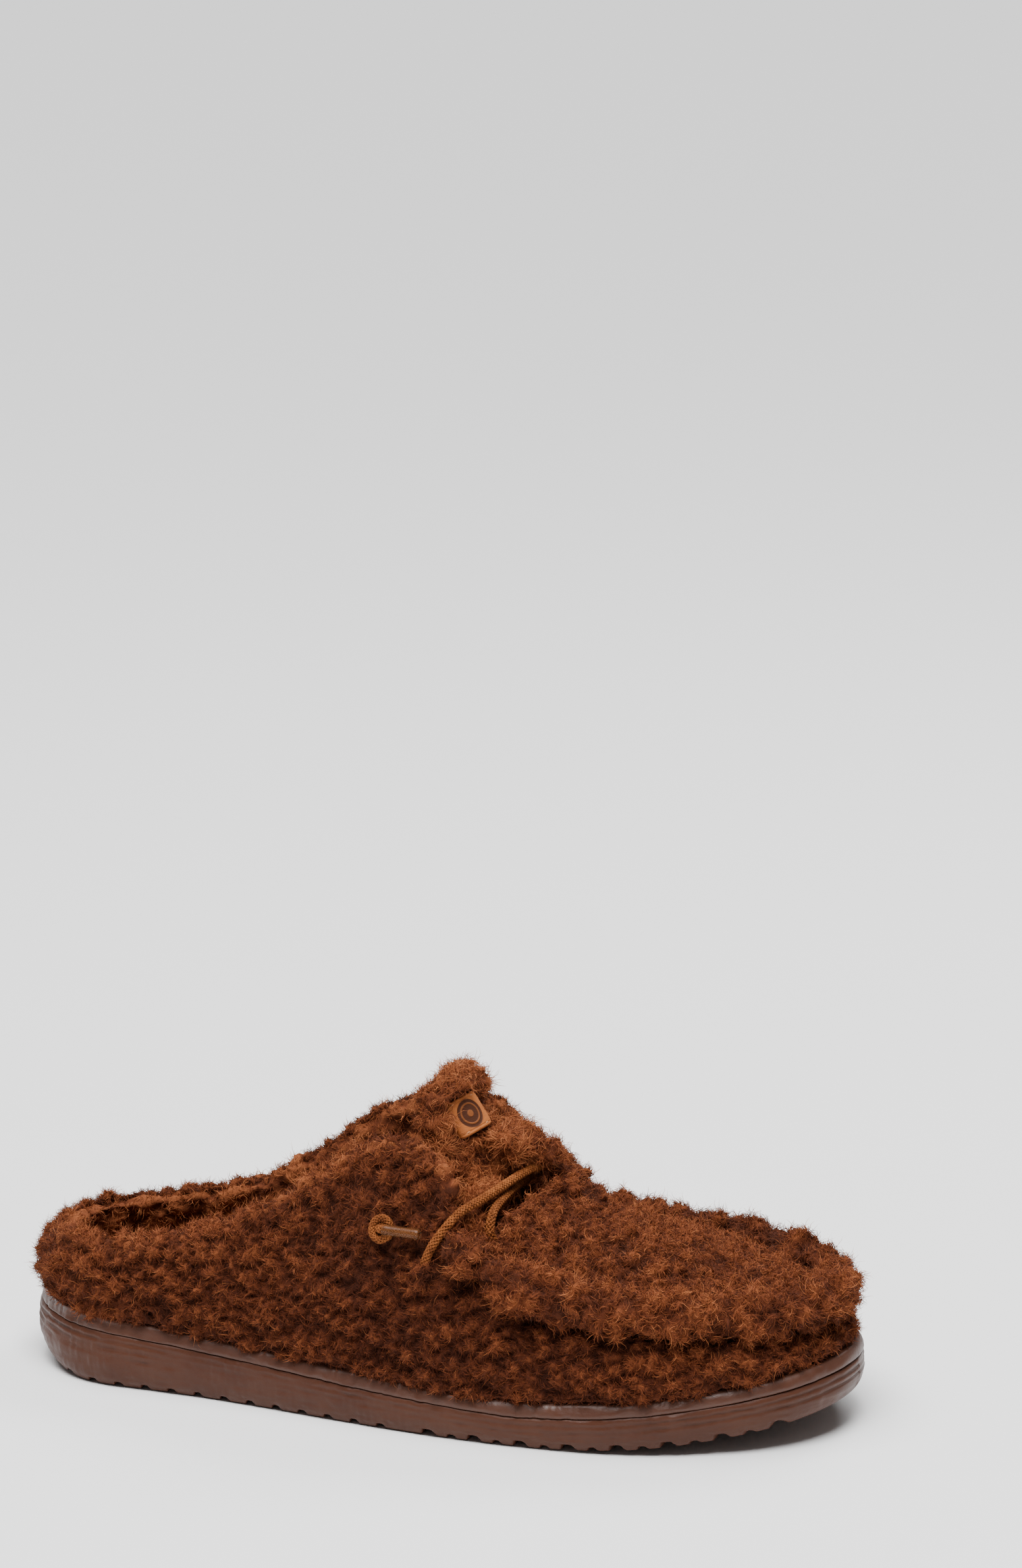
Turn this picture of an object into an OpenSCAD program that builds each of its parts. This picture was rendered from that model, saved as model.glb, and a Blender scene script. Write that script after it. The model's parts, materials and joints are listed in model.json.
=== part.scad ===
// Fluffy moc-toe house slipper, right foot.
// Millimetres, +Z up. The toe points to +X, the lateral side to -Y.
// Origin: middle of the slipper's box on the floor.

/* [Sole] */
// Length of the sole
sole_l = 292; // [270:1:310]
// Width of the sole at the ball
ball_w = 110; // [104:1:114]
// Width of the sole at the heel
heel_w = 82; // [76:1:86]
// How high the toe end of the tread lifts off the floor
toe_spring = 12; // [8:0.5:14]
// How high the back edge of the heel lifts off the floor
heel_bevel = 8; // [4:0.5:9]
// Height of the sole's top edge at the ball
ball_h = 16; // [15:0.5:18]
// Extra height of the sole's top edge at the heel
heel_rise = 11; // [8:0.5:12]
// Extra height of the sole's top edge at the toe
toe_rise = 13; // [10:0.5:14]
// Height of the upper band of the sole
band_h = 5; // [4:0.5:6]
// Depth of the forefoot tread notches
notch_d = 2.6; // [1:0.2:3]

/* [Upper] */
// Thickness of the outer sherpa
outer_t = 5; // [4:0.5:5]
// Thickness of the sherpa lining
lining_t = 4.4; // [3.5:0.1:4.6]
// Radius of the rolled moc ridge
ridge_r = 6.5; // [5.5:0.25:6.5]
// How far the outer sherpa bulges past the sole at heel and toe
end_bulge = 1.5; // [1:0.5:3]

/* [Tongue] */
// Half of the tongue's greatest width
tongue_hw = 23.5; // [20:0.5:24]
// Side of the square leather label
label_w = 14; // [12:0.5:16]

/* [Lace] */
// Diameter of the round cord
cord_d = 3; // [2.4:0.1:3.2]
// Length of the clear sleeve on each lace end
aglet_l = 11; // [8:0.5:13]

/* [Hidden] */

half_l = sole_l / 2;
clear = 0.2;            // gap between neighbouring layers
lining_gap = 0.5;       // gap between the outer sherpa and the lining behind it
toe_arc_x = 70;         // the toe's outline is an ellipse from here on
heel_arc_x = -104;      // and the heel's from here back
ball_x = 40;            // lowest point of the sole's top edge
ridge_in = 9;           // inset of the ridge's centre from the sole's outline
ridge_start = 28;       // the ridge begins here on both sides
plug_in = ridge_in + ridge_r + 0.3;
counter_t = 1;
counter_gap = 0.4;
heel_t = outer_t + clear - counter_t - 2 * counter_gap; // heel panel, thinner to make room for the counter
loop_n = 84;            // points round a full loop of the slipper
fluff = "#6e3a1c";
sole_brown = "#5f4134";

// Top of the wall's outer sherpa behind the ridge, as [x, z]
collar_lateral = [[-146, 48], [-110, 54], [-80, 61.5], [-60, 70], [-40, 82], [-22, 94], [-7, 97.5],
                  [5, 94], [14, 83], [19, 70], [23, 59], [28, 52.5], [34, 49.7]];
collar_medial = [[-146, 48], [-110, 49.5], [-80, 57], [-60, 67], [-40, 81], [-22, 94], [-7, 97.5],
                 [5, 95], [14, 85], [19, 72], [23, 60], [28, 52.5], [34, 49.7]];
// How far the wall leans in at its top, as [x, inset]
lean_lateral = [[-146, 3], [-110, 4], [-80, 5], [-60, 7], [-40, 11], [-20, 15], [5, 15], [20, 10], [34, 6], [146, 5]];
lean_medial = [[-146, 3], [-110, 4], [-80, 4], [-60, 5], [-40, 7], [-20, 9], [5, 9], [20, 7], [34, 6], [146, 5]];
// Crest of the moc ridge and crown of the plug between its sides, as [x, z]
ridge_crest = [[24, 67], [34, 63], [45, 58.5], [70, 54.5], [100, 53.5], [120, 54], [137, 54.2], [146, 54.2]];
plug_crown = [[22, 78], [34, 75.5], [50, 69], [70, 63], [100, 56], [130, 52.3]];

// Middle of the tongue's thickness from its root to its tip, as [x, z], and its half width there
tongue_x = [[0, 19.5], [0.25, 14.5], [0.5, 9.5], [0.75, 6], [1, 4]];
tongue_z = [[0, 74], [0.25, 84], [0.5, 94], [0.75, 104.5], [1, 114.5]];
tongue_span = [[0, 14], [0.15, 19], [0.35, tongue_hw], [0.7, tongue_hw - 0.5],
               [0.9, tongue_hw - 4], [1, tongue_hw - 8.5]];

tongue_y = -1.5;
// Middle of the label's back, how far it faces the lateral side, how far it is tipped up and its turn in its own plane
label_at = [11.1, -8.2, 99.2];
label_yaw = -34;
label_tip = 57;
label_turn = 14;
// Where each lace end comes out of the wall: x along the slipper, f up the wall, and how far out its knot sits
knot_x = -5;
knot_f = 0.64;
knot_out = 4.4;
// The lace from the lateral knot's hole, over the throat twice, to the medial one
lace_route = [
    [-4, -44.7, 69.1], [-3, -41.5, 67.5], [1, -41.5, 64], [6, -43, 60], [9.5, -46.5, 57.5], [11, -50.5, 58.5],
    [12, -50.4, 61.8], [14, -49, 66.5], [17.5, -45.5, 72], [20, -40, 75.3], [23, -32, 76.8], [26.5, -20, 78.2],
    [30, -5, 79.7], [32.6, 7, 79.3], [34.8, 16, 76], [36.5, 23.5, 71.5], [38.3, 30, 66.5], [38.5, 27, 61.5],
    [37, 12, 66.5], [35, -12, 66.5], [31, -27, 62], [28.5, -32, 66], [28, -30.5, 70.5], [27.6, -25, 73.2],
    [27.7, -16, 74.6], [28.2, -4, 75.2], [28, 8, 74.6], [26.8, 20, 73.8], [24, 31, 73.8], [20.8, 38, 74.2],
    [17.5, 41.5, 72], [14, 43.6, 66.5], [12, 44.1, 61.8], [11, 44.3, 58.5], [9.5, 40.5, 57.5], [6, 37, 60],
    [1, 35, 64], [-3, 35, 67.5], [-4, 38.1, 69.1]];

function mix(a, b, t) = a + (b - a) * t;
function smooth(t) = let (c = min(max(t, 0), 1)) c * c * (3 - 2 * c);
function unit(v) = v / norm(v);

// Smooth curve through [x, value] pairs, level beyond its ends
function curve(x, p, i = 0) =
    x <= p[0][0] ? p[0][1]
    : x >= p[len(p) - 1][0] ? p[len(p) - 1][1]
    : x > p[i + 1][0] ? curve(x, p, i + 1)
    : let (a = p[max(i - 1, 0)], b = p[i], c = p[i + 1], d = p[min(i + 2, len(p) - 1)],
           h = c[0] - b[0], t = (x - b[0]) / h,
           m0 = (c[1] - a[1]) / (c[0] - a[0]) * h, m1 = (d[1] - b[1]) / (d[0] - b[0]) * h)
      b[1] * (2 * t^3 - 3 * t^2 + 1) + m0 * (t^3 - 2 * t^2 + t)
      + c[1] * (3 * t^2 - 2 * t^3) + m1 * (t^3 - t^2);

// Half the sole's width at x: an elliptical heel, a swelling waist and an elliptical toe
function half_width(x) =
    x > toe_arc_x ? ball_w / 2 * sqrt(max(0, 1 - ((x - toe_arc_x) / (half_l - toe_arc_x))^2))
    : x < heel_arc_x ? heel_w / 2 * sqrt(max(0, 1 - ((heel_arc_x - x) / (half_l + heel_arc_x))^2))
    : mix(heel_w / 2, ball_w / 2, smooth(((x - heel_arc_x) / (toe_arc_x - heel_arc_x))^1.2));
// The sole's centre line swings out at the waist and in at the toe
function swing(x) = 6 * smooth((x - 20) / 126) - 4 * exp(-((x + 10) / 60)^2);
sway = [for (x = [-half_l:2:half_l]) swing(x) - half_width(x)];
swell = [for (x = [-half_l:2:half_l]) swing(x) + half_width(x)];
off_centre = (min(sway) + max(swell)) / 2;

// The sole's outline: s runs 0 at the heel, 0.25 along the lateral side, 0.5 at the toe, 1 back at the heel
function side_of(s) = s - floor(s) < 0.5 ? -1 : 1;
function edge(s) = let (x = -half_l * cos(360 * s)) [x, swing(x) - off_centre + side_of(s) * half_width(x)];
function edge_in(s, d) =
    let (t = unit(edge(s + 0.004) - edge(s - 0.004)), p = edge(s)) [p[0] - t[1] * d, p[1] + t[0] * d];
// The lateral s at which the outline passes x
function s_at(x) = acos(-x / half_l) / 360;

// Underside, top edge and joint line of the sole at x
function ground(x) = heel_bevel * max(0, (-117 - x) / (half_l - 117))^2 + toe_spring * max(0, (x - 47) / (half_l - 47))^2;
function top_line(x) =
    x < ball_x ? ball_h + heel_rise * (max(0, ball_x - x) / (ball_x + half_l))^1.2
    : ball_h + toe_rise * (min(x - ball_x, half_l - ball_x) / (half_l - ball_x))^1.7;
function joint_line(x) = top_line(x) - band_h;

// Upper wall: f runs from 0 at the sole to 1 at the wall's top, d is the depth under its outer face
function wall_top(s) =
    let (x = edge(s)[0])
    x > ridge_start + 6 ? curve(x, ridge_crest) - 2 * ridge_r - 0.3 : curve(x, side_of(s) < 0 ? collar_lateral : collar_medial);
function wall_lean(s) = curve(edge(s)[0], side_of(s) < 0 ? lean_lateral : lean_medial);
function wall_inset(s, f) =
    1 + wall_lean(s) * f^1.6 - (1 + end_bulge * (edge(s)[0] / half_l)^4) * sin(180 * f^0.8);
function wall_z(s, f) = mix(top_line(edge(s)[0]) + clear, wall_top(s), f);
function wall_pt(s, f, d) = let (q = edge_in(s, wall_inset(s, f) + d)) [q[0], q[1], wall_z(s, f)];
// The slanted seam between the side wall and the heel panel, as a place on the loop
function seam_s(f) = 0.147 - 0.033 * f^0.8;

// One slice through a sheet of the wall between depths d0 and d1, from fa to fb, its top edge rounded
function wall_slice(s0, s1, u, d0, d1, fa, fb) =
    let (m = (d1 - d0) * 0.25, fs = [fa, mix(fa, fb, 0.2), mix(fa, fb, 0.42), mix(fa, fb, 0.66), mix(fa, fb, 0.86), fb - 0.03])
    concat(
        [for (f = fs) wall_pt(mix(s0 * seam_s(f), s1 - s0 * seam_s(f), u), f, d1)],
        [wall_pt(mix(s0 * seam_s(fb), s1 - s0 * seam_s(fb), u), fb, d1 - m)],
        [wall_pt(mix(s0 * seam_s(fb), s1 - s0 * seam_s(fb), u), fb, d0 + m)],
        [for (i = [5:-1:0]) let (f = fs[i]) wall_pt(mix(s0 * seam_s(f), s1 - s0 * seam_s(f), u), f, d0)]);

// A solid through a list of slices, each an equal list of points; its ends are closed by strips
module loft(slices) {
    n = len(slices[0]);
    last = len(slices) - 1;
    sides = [for (j = [0:last - 1], i = [0:n - 1])
        [j * n + i, (j + 1) * n + i, (j + 1) * n + (i + 1) % n, j * n + (i + 1) % n]];
    start = [for (k = [0:n / 2 - 2]) [k, k + 1, n - 2 - k, n - 1 - k]];
    end = [for (q = start) [for (i = [3:-1:0]) last * n + q[i]]];
    polyhedron([for (r = slices) each r], concat(sides, start, end));
}

// A solid through a closed ring of slices
module ring_loft(slices) {
    n = len(slices[0]);
    m = len(slices);
    sides = [for (j = [0:m - 1], i = [0:n - 1])
        [j * n + i, ((j + 1) % m) * n + i, ((j + 1) % m) * n + (i + 1) % n, j * n + (i + 1) % n]];
    polyhedron([for (r = slices) each r], sides);
}

// Places on the loop for a closed layer, in pairs across the slipper
function loop_s(n) = concat([for (i = [0:n / 2 - 1]) (i + 0.5) / n], [for (i = [n / 2:n - 1]) (i + 0.5) / n]);
// One layer ring: the outline inset by d, at the top edge's height plus rise
function layer(places, d, rise) = [for (s = places) let (q = edge_in(s, d)) [q[0], q[1], top_line(q[0]) + rise]];

// A round solid cord along a route
function spline_pt(r, i, t) =
    let (a = r[max(i - 1, 0)], b = r[i], c = r[i + 1], d = r[min(i + 2, len(r) - 1)])
    0.5 * (2 * b + (c - a) * t + (2 * a - 5 * b + 4 * c - d) * t^2 + (3 * b - a - 3 * c + d) * t^3);
function carry(path, i, n) = let (t = unit(path[min(i + 1, len(path) - 1)] - path[max(i - 1, 0)])) unit(n - (n * t) * t);
function frames(path, i, n) =
    i == len(path) ? [] : let (m = carry(path, i, n)) concat([m], frames(path, i + 1, m));
module cord(path, d, first, sides) {
    normals = frames(path, 0, first);
    loft([for (i = [0:len(path) - 1])
        let (t = unit(path[min(i + 1, len(path) - 1)] - path[max(i - 1, 0)]), n = normals[i], b = cross(t, n))
        [for (k = [0:sides - 1]) path[i] + d / 2 * (cos(360 * (k + 0.5) / sides) * n + sin(360 * (k + 0.5) / sides) * b)]]);
}

// Tread: [centre, half width, depth] of each notch across the sole
notches = concat(
    [for (x = [-134:10:-4]) [x, 1.6, notch_d / 2]],
    [for (x = [14:16.5:130]) [x, 2.6, notch_d]],
    [for (x = [22.25:16.5:122]) [x, 1.2, notch_d / 3]]);
function tread_stations() =
    let (x0 = [for (i = [0:9]) -half_l * cos(4 + i * 2.4)], x1 = [for (i = [0:9]) half_l * cos(4 + i * 2.4)],
         cuts = [for (k = notches) each [k[0] - k[1], k[0] - k[1] * 0.45, k[0] + k[1] * 0.45, k[0] + k[1]]])
    sorted(concat([for (x = x0) if (x < -136.2) x], cuts, [for (x = x1) if (x > 133) x]));
function sorted(v) =
    len(v) < 2 ? v
    : let (p = v[floor(len(v) / 2)])
      concat(sorted([for (x = v) if (x < p) x]), [p], sorted([for (x = v) if (x > p) x]));
function notch_z(x) = max([for (k = notches)
    abs(x - k[0]) >= k[1] - 0.001 ? 0 : k[2] * min(1, (k[1] - abs(x - k[0])) / (k[1] * 0.55))]);

module outsole() {
    xs = tread_stations();
    n = len(xs);
    places = concat([for (x = xs) s_at(x)], [for (i = [n - 1:-1:0]) 1 - s_at(xs[i])]);
    base = concat(xs, [for (i = [n - 1:-1:0]) xs[i]]);
    // Height of the side's belly between ground and joint line
    function ring(d, part, rise, cut) = [for (i = [0:2 * n - 1])
        let (q = edge_in(places[i], d), x = base[i])
        [q[0], q[1], mix(ground(q[0]), joint_line(q[0]), part) + rise + cut * notch_z(x)]];
    color(sole_brown)
    loft([ring(5, 0, 0, 1), ring(1.8, 0, 1.1, 0.8), ring(0.5, 0, 4.2, 0), ring(0, 0.6, 0, 0),
          ring(0.8, 1, -1, 0), ring(2.2, 1, 0, 0)]);
}

module midsole_band() {
    function slice(s) = let (rows = [[8, clear], [8, band_h * 0.6], [8, band_h], [1.2, band_h], [0.2, band_h * 0.6], [0.7, clear]])
        [for (r = rows) let (q = edge_in(s, r[0])) [q[0], q[1], joint_line(q[0]) + r[1]]];
    color("#5a3d31")
    ring_loft([for (s = loop_s(loop_n)) slice(s)]);
}

module insole_board() {
    color("#cdbfa6")
    loft([for (rise = [0.45, 2.3]) layer(loop_s(loop_n), 8.4, rise - band_h)]);
}

module strobel_thread() {
    // The seam line that joins the lining to the board, lying on the board's edge
    function slice(s) = [for (k = [7:-1:0]) let (a = 45 * k + 22.5, q = edge_in(s, 9.4 + 0.5 * cos(a)))
        [q[0], q[1], top_line(edge(s)[0]) - band_h + 3.2 + 0.5 * sin(a)]];
    color("#d8cdb8")
    ring_loft([for (s = loop_s(60)) slice(s)]);
}

module footbed_foam() {
    color("#d9d2c4")
    loft([layer(loop_s(loop_n), 11.4, 2.6 - band_h), layer(loop_s(loop_n), 11.4, 2.4)]);
}

module footbed_cover() {
    color("#7a4526")
    loft([layer(loop_s(loop_n), 11.4, 2.6), layer(loop_s(loop_n), 11.2, 5), layer(loop_s(loop_n), 12.4, 6.4),
          layer(loop_s(loop_n), 15, 7)]);
}

module side_wall() {
    color(fluff)
    loft([for (i = [0:92]) wall_slice(1, 1, mix(0.002, 0.998, i / 92), 0, outer_t, 0, 1)]);
}

module heel_panel() {
    // From the medial seam round the back to the lateral seam
    function slice(u) =
        let (fs = [0, 0.2, 0.42, 0.66, 0.86, 0.97], m = heel_t * 0.25)
        concat([for (f = fs) wall_pt(mix(-seam_s(f), seam_s(f), u), f, heel_t)],
               [wall_pt(mix(-seam_s(1), seam_s(1), u), 1, heel_t - m)],
               [wall_pt(mix(-seam_s(1), seam_s(1), u), 1, m)],
               [for (i = [5:-1:0]) wall_pt(mix(-seam_s(fs[i]), seam_s(fs[i]), u), fs[i], 0)]);
    color("#74401f")
    loft([for (i = [0:30]) slice(mix(0.002, 0.998, i / 30))]);
}

module heel_counter() {
    function slice(s) = let (fs = [0.05, 0.35, 0.75])
        concat([for (f = fs) wall_pt(s, f, heel_t + counter_gap + counter_t)],
               [for (i = [2:-1:0]) wall_pt(s, fs[i], heel_t + counter_gap)]);
    color("#e3ddd0")
    loft([for (i = [0:24]) slice(mix(-0.105, 0.105, i / 24))]);
}

module wall_lining() {
    color("#7d4827")
    ring_loft([for (s = [for (i = [0:103]) i / 104]) wall_slice(0, s, 1, outer_t + lining_gap, outer_t + lining_gap + lining_t, 0, 0.985)]);
}

// The patch between the two sides of the ridge: u from the throat to the toe, v across, drop below the crown
function plug_pt(u, v, drop) =
    let (start = mix(s_at(35), s_at(25), smooth(abs(v) * 1.5 - 0.4)), s = mix(start, 0.468, u),
         d = plug_in + 4.5 * smooth((38 - edge(s)[0]) / 10),
         a = edge_in(s, d), b = edge_in(1 - s, d), p = mix(a, b, (v + 1) / 2), x = p[0])
    [x, p[1], mix(curve(x, plug_crown), curve(x, ridge_crest) - 4, v^2) - drop];
module patch(d0, d1) {
    vs = [for (i = [-6:6]) i / 6];
    loft([for (i = [0:22]) concat(
        [for (v = vs) plug_pt(i / 22, v, d1)],
        [for (k = [12:-1:0]) plug_pt(i / 22, vs[k], d0)])]);
}
module vamp_plug() {
    color("#683618")
    patch(0, outer_t);
}
module vamp_lining() {
    color("#7d4827")
    patch(outer_t + clear, outer_t + clear + lining_t);
}

module moc_ridge() {
    function slice(s) =
        let (x = edge(s)[0], taper = min(1, 0.3 + 0.7 * sqrt(max(0, (x - ridge_start) / 14))), r = ridge_r * taper)
        [for (k = [11:-1:0]) let (a = 30 * k + 15, q = edge_in(s, ridge_in + r * cos(a)))
            [q[0], q[1], curve(x, ridge_crest) - ridge_r + r * sin(a)]];
    color("#7b431f")
    loft([for (i = [0:62]) slice(mix(s_at(ridge_start), 1 - s_at(ridge_start), i / 62))]);
}

module moc_seam_thread() {
    // Stitches that gather the wall onto the ridge, one across the crease every few millimetres
    color("#8a5a36")
    for (i = [0:44]) {
        s = mix(s_at(40), 1 - s_at(40), i / 44);
        a = wall_pt(s, 0.9, 0.6);
        b = edge_in(s, ridge_in - ridge_r * 0.4);
        stick(a, [b[0], b[1], wall_z(s, 1) + 2.4], 0.45);
    }
}

// A straight round stick from a to b
module stick(a, b, r) {
    v = b - a;
    translate(a)
    rotate([0, acos(v[2] / norm(v)), atan2(v[1], v[0])])
    cylinder(h = norm(v), r = r, $fn = 24);
}

module heel_seam_thread() {
    color("#8a5a36")
    for (side = [1, -1], i = [0:5]) {
        f = mix(0.12, 0.9, i / 5);
        stick(wall_pt(side * (seam_s(f) - 0.006), f, 1.4), wall_pt(side * (seam_s(f) + 0.006), f, 1.4), 0.45);
    }
}

// A slice across the tongue at t along it, between depths in front of (+) or behind (-) its middle
function tongue_slice(t, front, back) =
    let (e = 0.02, hw = curve(t, tongue_span), vs = [for (i = [-5:5]) i / 5],
         dir = unit([curve(t + e, tongue_x) - curve(t - e, tongue_x), curve(t + e, tongue_z) - curve(t - e, tongue_z)]),
         round_off = 1 - 0.6 * max(0, (t - 0.85) / 0.15)^2, x = curve(t, tongue_x), z = curve(t, tongue_z))
    concat(
        [for (v = vs) let (d = front > 0.5 ? front * round_off * (1 - 0.35 * v^4) : front)
            [x + dir[1] * d - 5 * v^2, tongue_y + v * hw, z - dir[0] * d - 4 * v^2]],
        [for (k = [10:-1:0]) let (v = vs[k], d = back < -0.5 ? back * round_off * (1 - 0.35 * v^4) : back)
            [x + dir[1] * d - 5 * v^2, tongue_y + v * hw, z - dir[0] * d - 4 * v^2]]);
module tongue_shell() {
    color(fluff)
    loft([for (i = [0:16]) tongue_slice(mix(0.02, 0.99, i / 16), 4.6, 0.1)]);
}
module tongue_lining() {
    color("#7d4827")
    loft([for (i = [0:16]) tongue_slice(mix(0.02, 0.99, i / 16), -0.1, -4.4)]);
}

// The label's own frame: its face looks out along +Z, its top edge along +X
module on_label() {
    translate(label_at)
    rotate([0, 0, label_yaw])
    rotate([0, label_tip, 0])
    rotate([0, 0, 180 + label_turn])
    children();
}
module tongue_label() {
    corner = 2;
    inner = label_w - 2 * corner;
    color("#a5693a")
    on_label()
    linear_extrude(1.4) {
        square([label_w, inner], center = true);
        square([inner, label_w], center = true);
        for (x = [-1, 1], y = [-1, 1]) translate([x * inner / 2, y * inner / 2]) circle(corner, $fn = 32);
    }
}
module label_thread() {
    pitch = 2.2;
    color("#d0a372")
    on_label()
    for (i = [-2:2], e = [-1, 1])
    translate([e * (label_w / 2 - 1.6), i * pitch - 0.9, 1.6])
    rotate([-90, 0, 0])
    cylinder(h = 1.8, r = 0.28, $fn = 24);
}

module lace() {
    path = concat([for (i = [0:len(lace_route) - 2], t = [0, 0.5]) spline_pt(lace_route, i, t)], [lace_route[len(lace_route) - 1]]);
    color("#96602f")
    cord(path, cord_d, [1, 0, 0], 8);
}

// A lace end's own frame, with side 1 lateral and -1 medial: +Z out of the wall, +X along the cord's tail
module on_wall(side) {
    s = side > 0 ? s_at(knot_x) : 1 - s_at(knot_x);
    along = side * (wall_pt(s + 0.002, knot_f, 0) - wall_pt(s - 0.002, knot_f, 0));
    upward = wall_pt(s, knot_f + 0.02, 0) - wall_pt(s, knot_f - 0.02, 0);
    out = side * unit(cross(along, upward));
    translate(wall_pt(s, knot_f, 0) + knot_out * out)
    rotate([side * (90 - asin(out[2])), 0, atan2(along[1], along[0])])
    children();
}
// The stopper knot, its neck at the wall and the cord that goes on into the sleeve
module lace_end(side) {
    bead_r = 1.5;
    color("#96602f")
    on_wall(side) {
        rotate([0, 90, 0])
        rotate_extrude($fn = 48)
        translate([cord_d * 0.75, 0])
        circle(bead_r, $fn = 32);
        translate([-2.4, 0, 0])
        rotate([0, 90, 0])
        cylinder(h = 4 + aglet_l + 0.9, r = cord_d / 2, $fn = 32);
        translate([0, 0, 0.6 - knot_out])
        cylinder(h = knot_out - 0.6, r = cord_d / 2 - 0.2, $fn = 32);
    }
}
module aglet(side) {
    color([0.9, 0.92, 0.92, 0.45])
    on_wall(side)
    translate([3.4, 0, 0])
    rotate([0, 90, 0])
    difference() {
        cylinder(h = aglet_l, r = cord_d / 2 + 0.4, $fn = 48);
        translate([0, 0, -1]) cylinder(h = aglet_l + 2, r = cord_d / 2 + 0.05, $fn = 48);
    }
}
module lace_end_lateral() { lace_end(1); }
module aglet_lateral() { aglet(1); }
module lace_end_medial() { lace_end(-1); }
module aglet_medial() { aglet(-1); }

outsole();
midsole_band();
insole_board();
strobel_thread();
footbed_foam();
footbed_cover();
side_wall();
heel_panel();
heel_counter();
wall_lining();
vamp_lining();
vamp_plug();
moc_ridge();
moc_seam_thread();
heel_seam_thread();
tongue_shell();
tongue_lining();
tongue_label();
label_thread();
lace();
lace_end_lateral();
aglet_lateral();
lace_end_medial();
aglet_medial();
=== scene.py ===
import json
from math import cos, pi, radians, sin

import bpy
import numpy as np
from mathutils import Matrix, Vector
from mathutils.kdtree import KDTree


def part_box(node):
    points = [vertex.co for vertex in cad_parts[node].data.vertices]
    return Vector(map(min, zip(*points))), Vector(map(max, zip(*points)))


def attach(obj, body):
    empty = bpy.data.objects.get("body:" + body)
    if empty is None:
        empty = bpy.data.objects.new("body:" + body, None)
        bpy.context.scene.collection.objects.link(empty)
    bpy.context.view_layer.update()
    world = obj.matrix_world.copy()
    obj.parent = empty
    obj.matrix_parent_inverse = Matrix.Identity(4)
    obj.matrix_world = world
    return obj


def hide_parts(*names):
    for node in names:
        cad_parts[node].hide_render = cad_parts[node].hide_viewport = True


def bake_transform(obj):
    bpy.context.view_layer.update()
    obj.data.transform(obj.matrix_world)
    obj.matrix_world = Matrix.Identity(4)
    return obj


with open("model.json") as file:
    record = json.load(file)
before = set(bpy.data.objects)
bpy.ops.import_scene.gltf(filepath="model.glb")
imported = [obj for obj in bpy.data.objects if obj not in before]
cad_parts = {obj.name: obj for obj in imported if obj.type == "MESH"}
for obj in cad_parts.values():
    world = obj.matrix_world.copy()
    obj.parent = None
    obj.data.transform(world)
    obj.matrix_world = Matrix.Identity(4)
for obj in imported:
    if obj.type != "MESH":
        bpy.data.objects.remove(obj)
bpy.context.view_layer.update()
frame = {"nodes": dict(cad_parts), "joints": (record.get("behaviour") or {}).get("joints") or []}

# Lengths below are in millimetres, on the CAD frame's axes; make() turns them into metres.
MM = 0.001
SHARE = 1.0     # how much of the loose fibres a run makes
rng = np.random.default_rng(11)


# ---------------- numbers

def smooth(t):
    """An even step from 0 to 1 while t goes from 0 to 1."""
    t = np.clip(t, 0, 1)
    return t * t * (3 - 2 * t)


def unit(v):
    return v / np.maximum(np.linalg.norm(v, axis=-1, keepdims=True), 1e-9)


def dot(a, b):
    return (a * b).sum(-1, keepdims=True)


def lattice(cell, seed):
    """Three random numbers from 0 to 1 for each whole-number cell."""
    h = (cell[..., 0] * 73856093) ^ (cell[..., 1] * 19349663) ^ (cell[..., 2] * 83492791)
    h = (h ^ (seed * 7919 + 977)) & 0xFFFFFFFF
    out = []
    for _ in range(3):
        h = ((h ^ (h >> 15)) * 747796405 + 2891336453) & 0xFFFFFFFF
        h ^= h >> 13
        out.append(h / 4294967296.0)
    return np.stack(out, -1)


def noise(p, size, seed):
    """Smooth noise from -1 to 1, three values at each point."""
    q = p / size
    cell = np.floor(q).astype(np.int64)
    f = q - cell
    f = f * f * (3 - 2 * f)
    total = 0
    for corner in np.ndindex(2, 2, 2):
        w = np.where(corner, f, 1 - f).prod(1)
        total = total + w[:, None] * lattice(cell + corner, seed)
    return total * 2 - 1


def cells(p, size, seed, stretch=1.0):
    """Distances to the two nearest scattered nuggets, and the nearest's centre, long axis and tone."""
    q = p / size
    base = np.floor(q).astype(np.int64)
    d1 = np.full(len(p), 9.0)
    d2 = np.full(len(p), 9.0)
    centre = np.zeros_like(p)
    axis = np.zeros_like(p)
    tone = np.zeros(len(p))
    for step in np.ndindex(3, 3, 3):
        cell = base + step - 1
        h = lattice(cell, seed)
        s = cell + h
        long = unit(lattice(cell, seed + 50) - 0.5)
        r = q - s
        d = np.linalg.norm(r - long * dot(r, long) * (1 - 1 / stretch), axis=1)
        near = d < d1
        d2 = np.where(near, d1, np.minimum(d2, d))
        d1 = np.where(near, d, d1)
        centre[near] = s[near]
        axis[near] = long[near]
        tone[near] = (h[near, 0] * 7.13 + h[near, 1] * 3.71) % 1
    return d1, d2, centre * size, axis, tone


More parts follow.
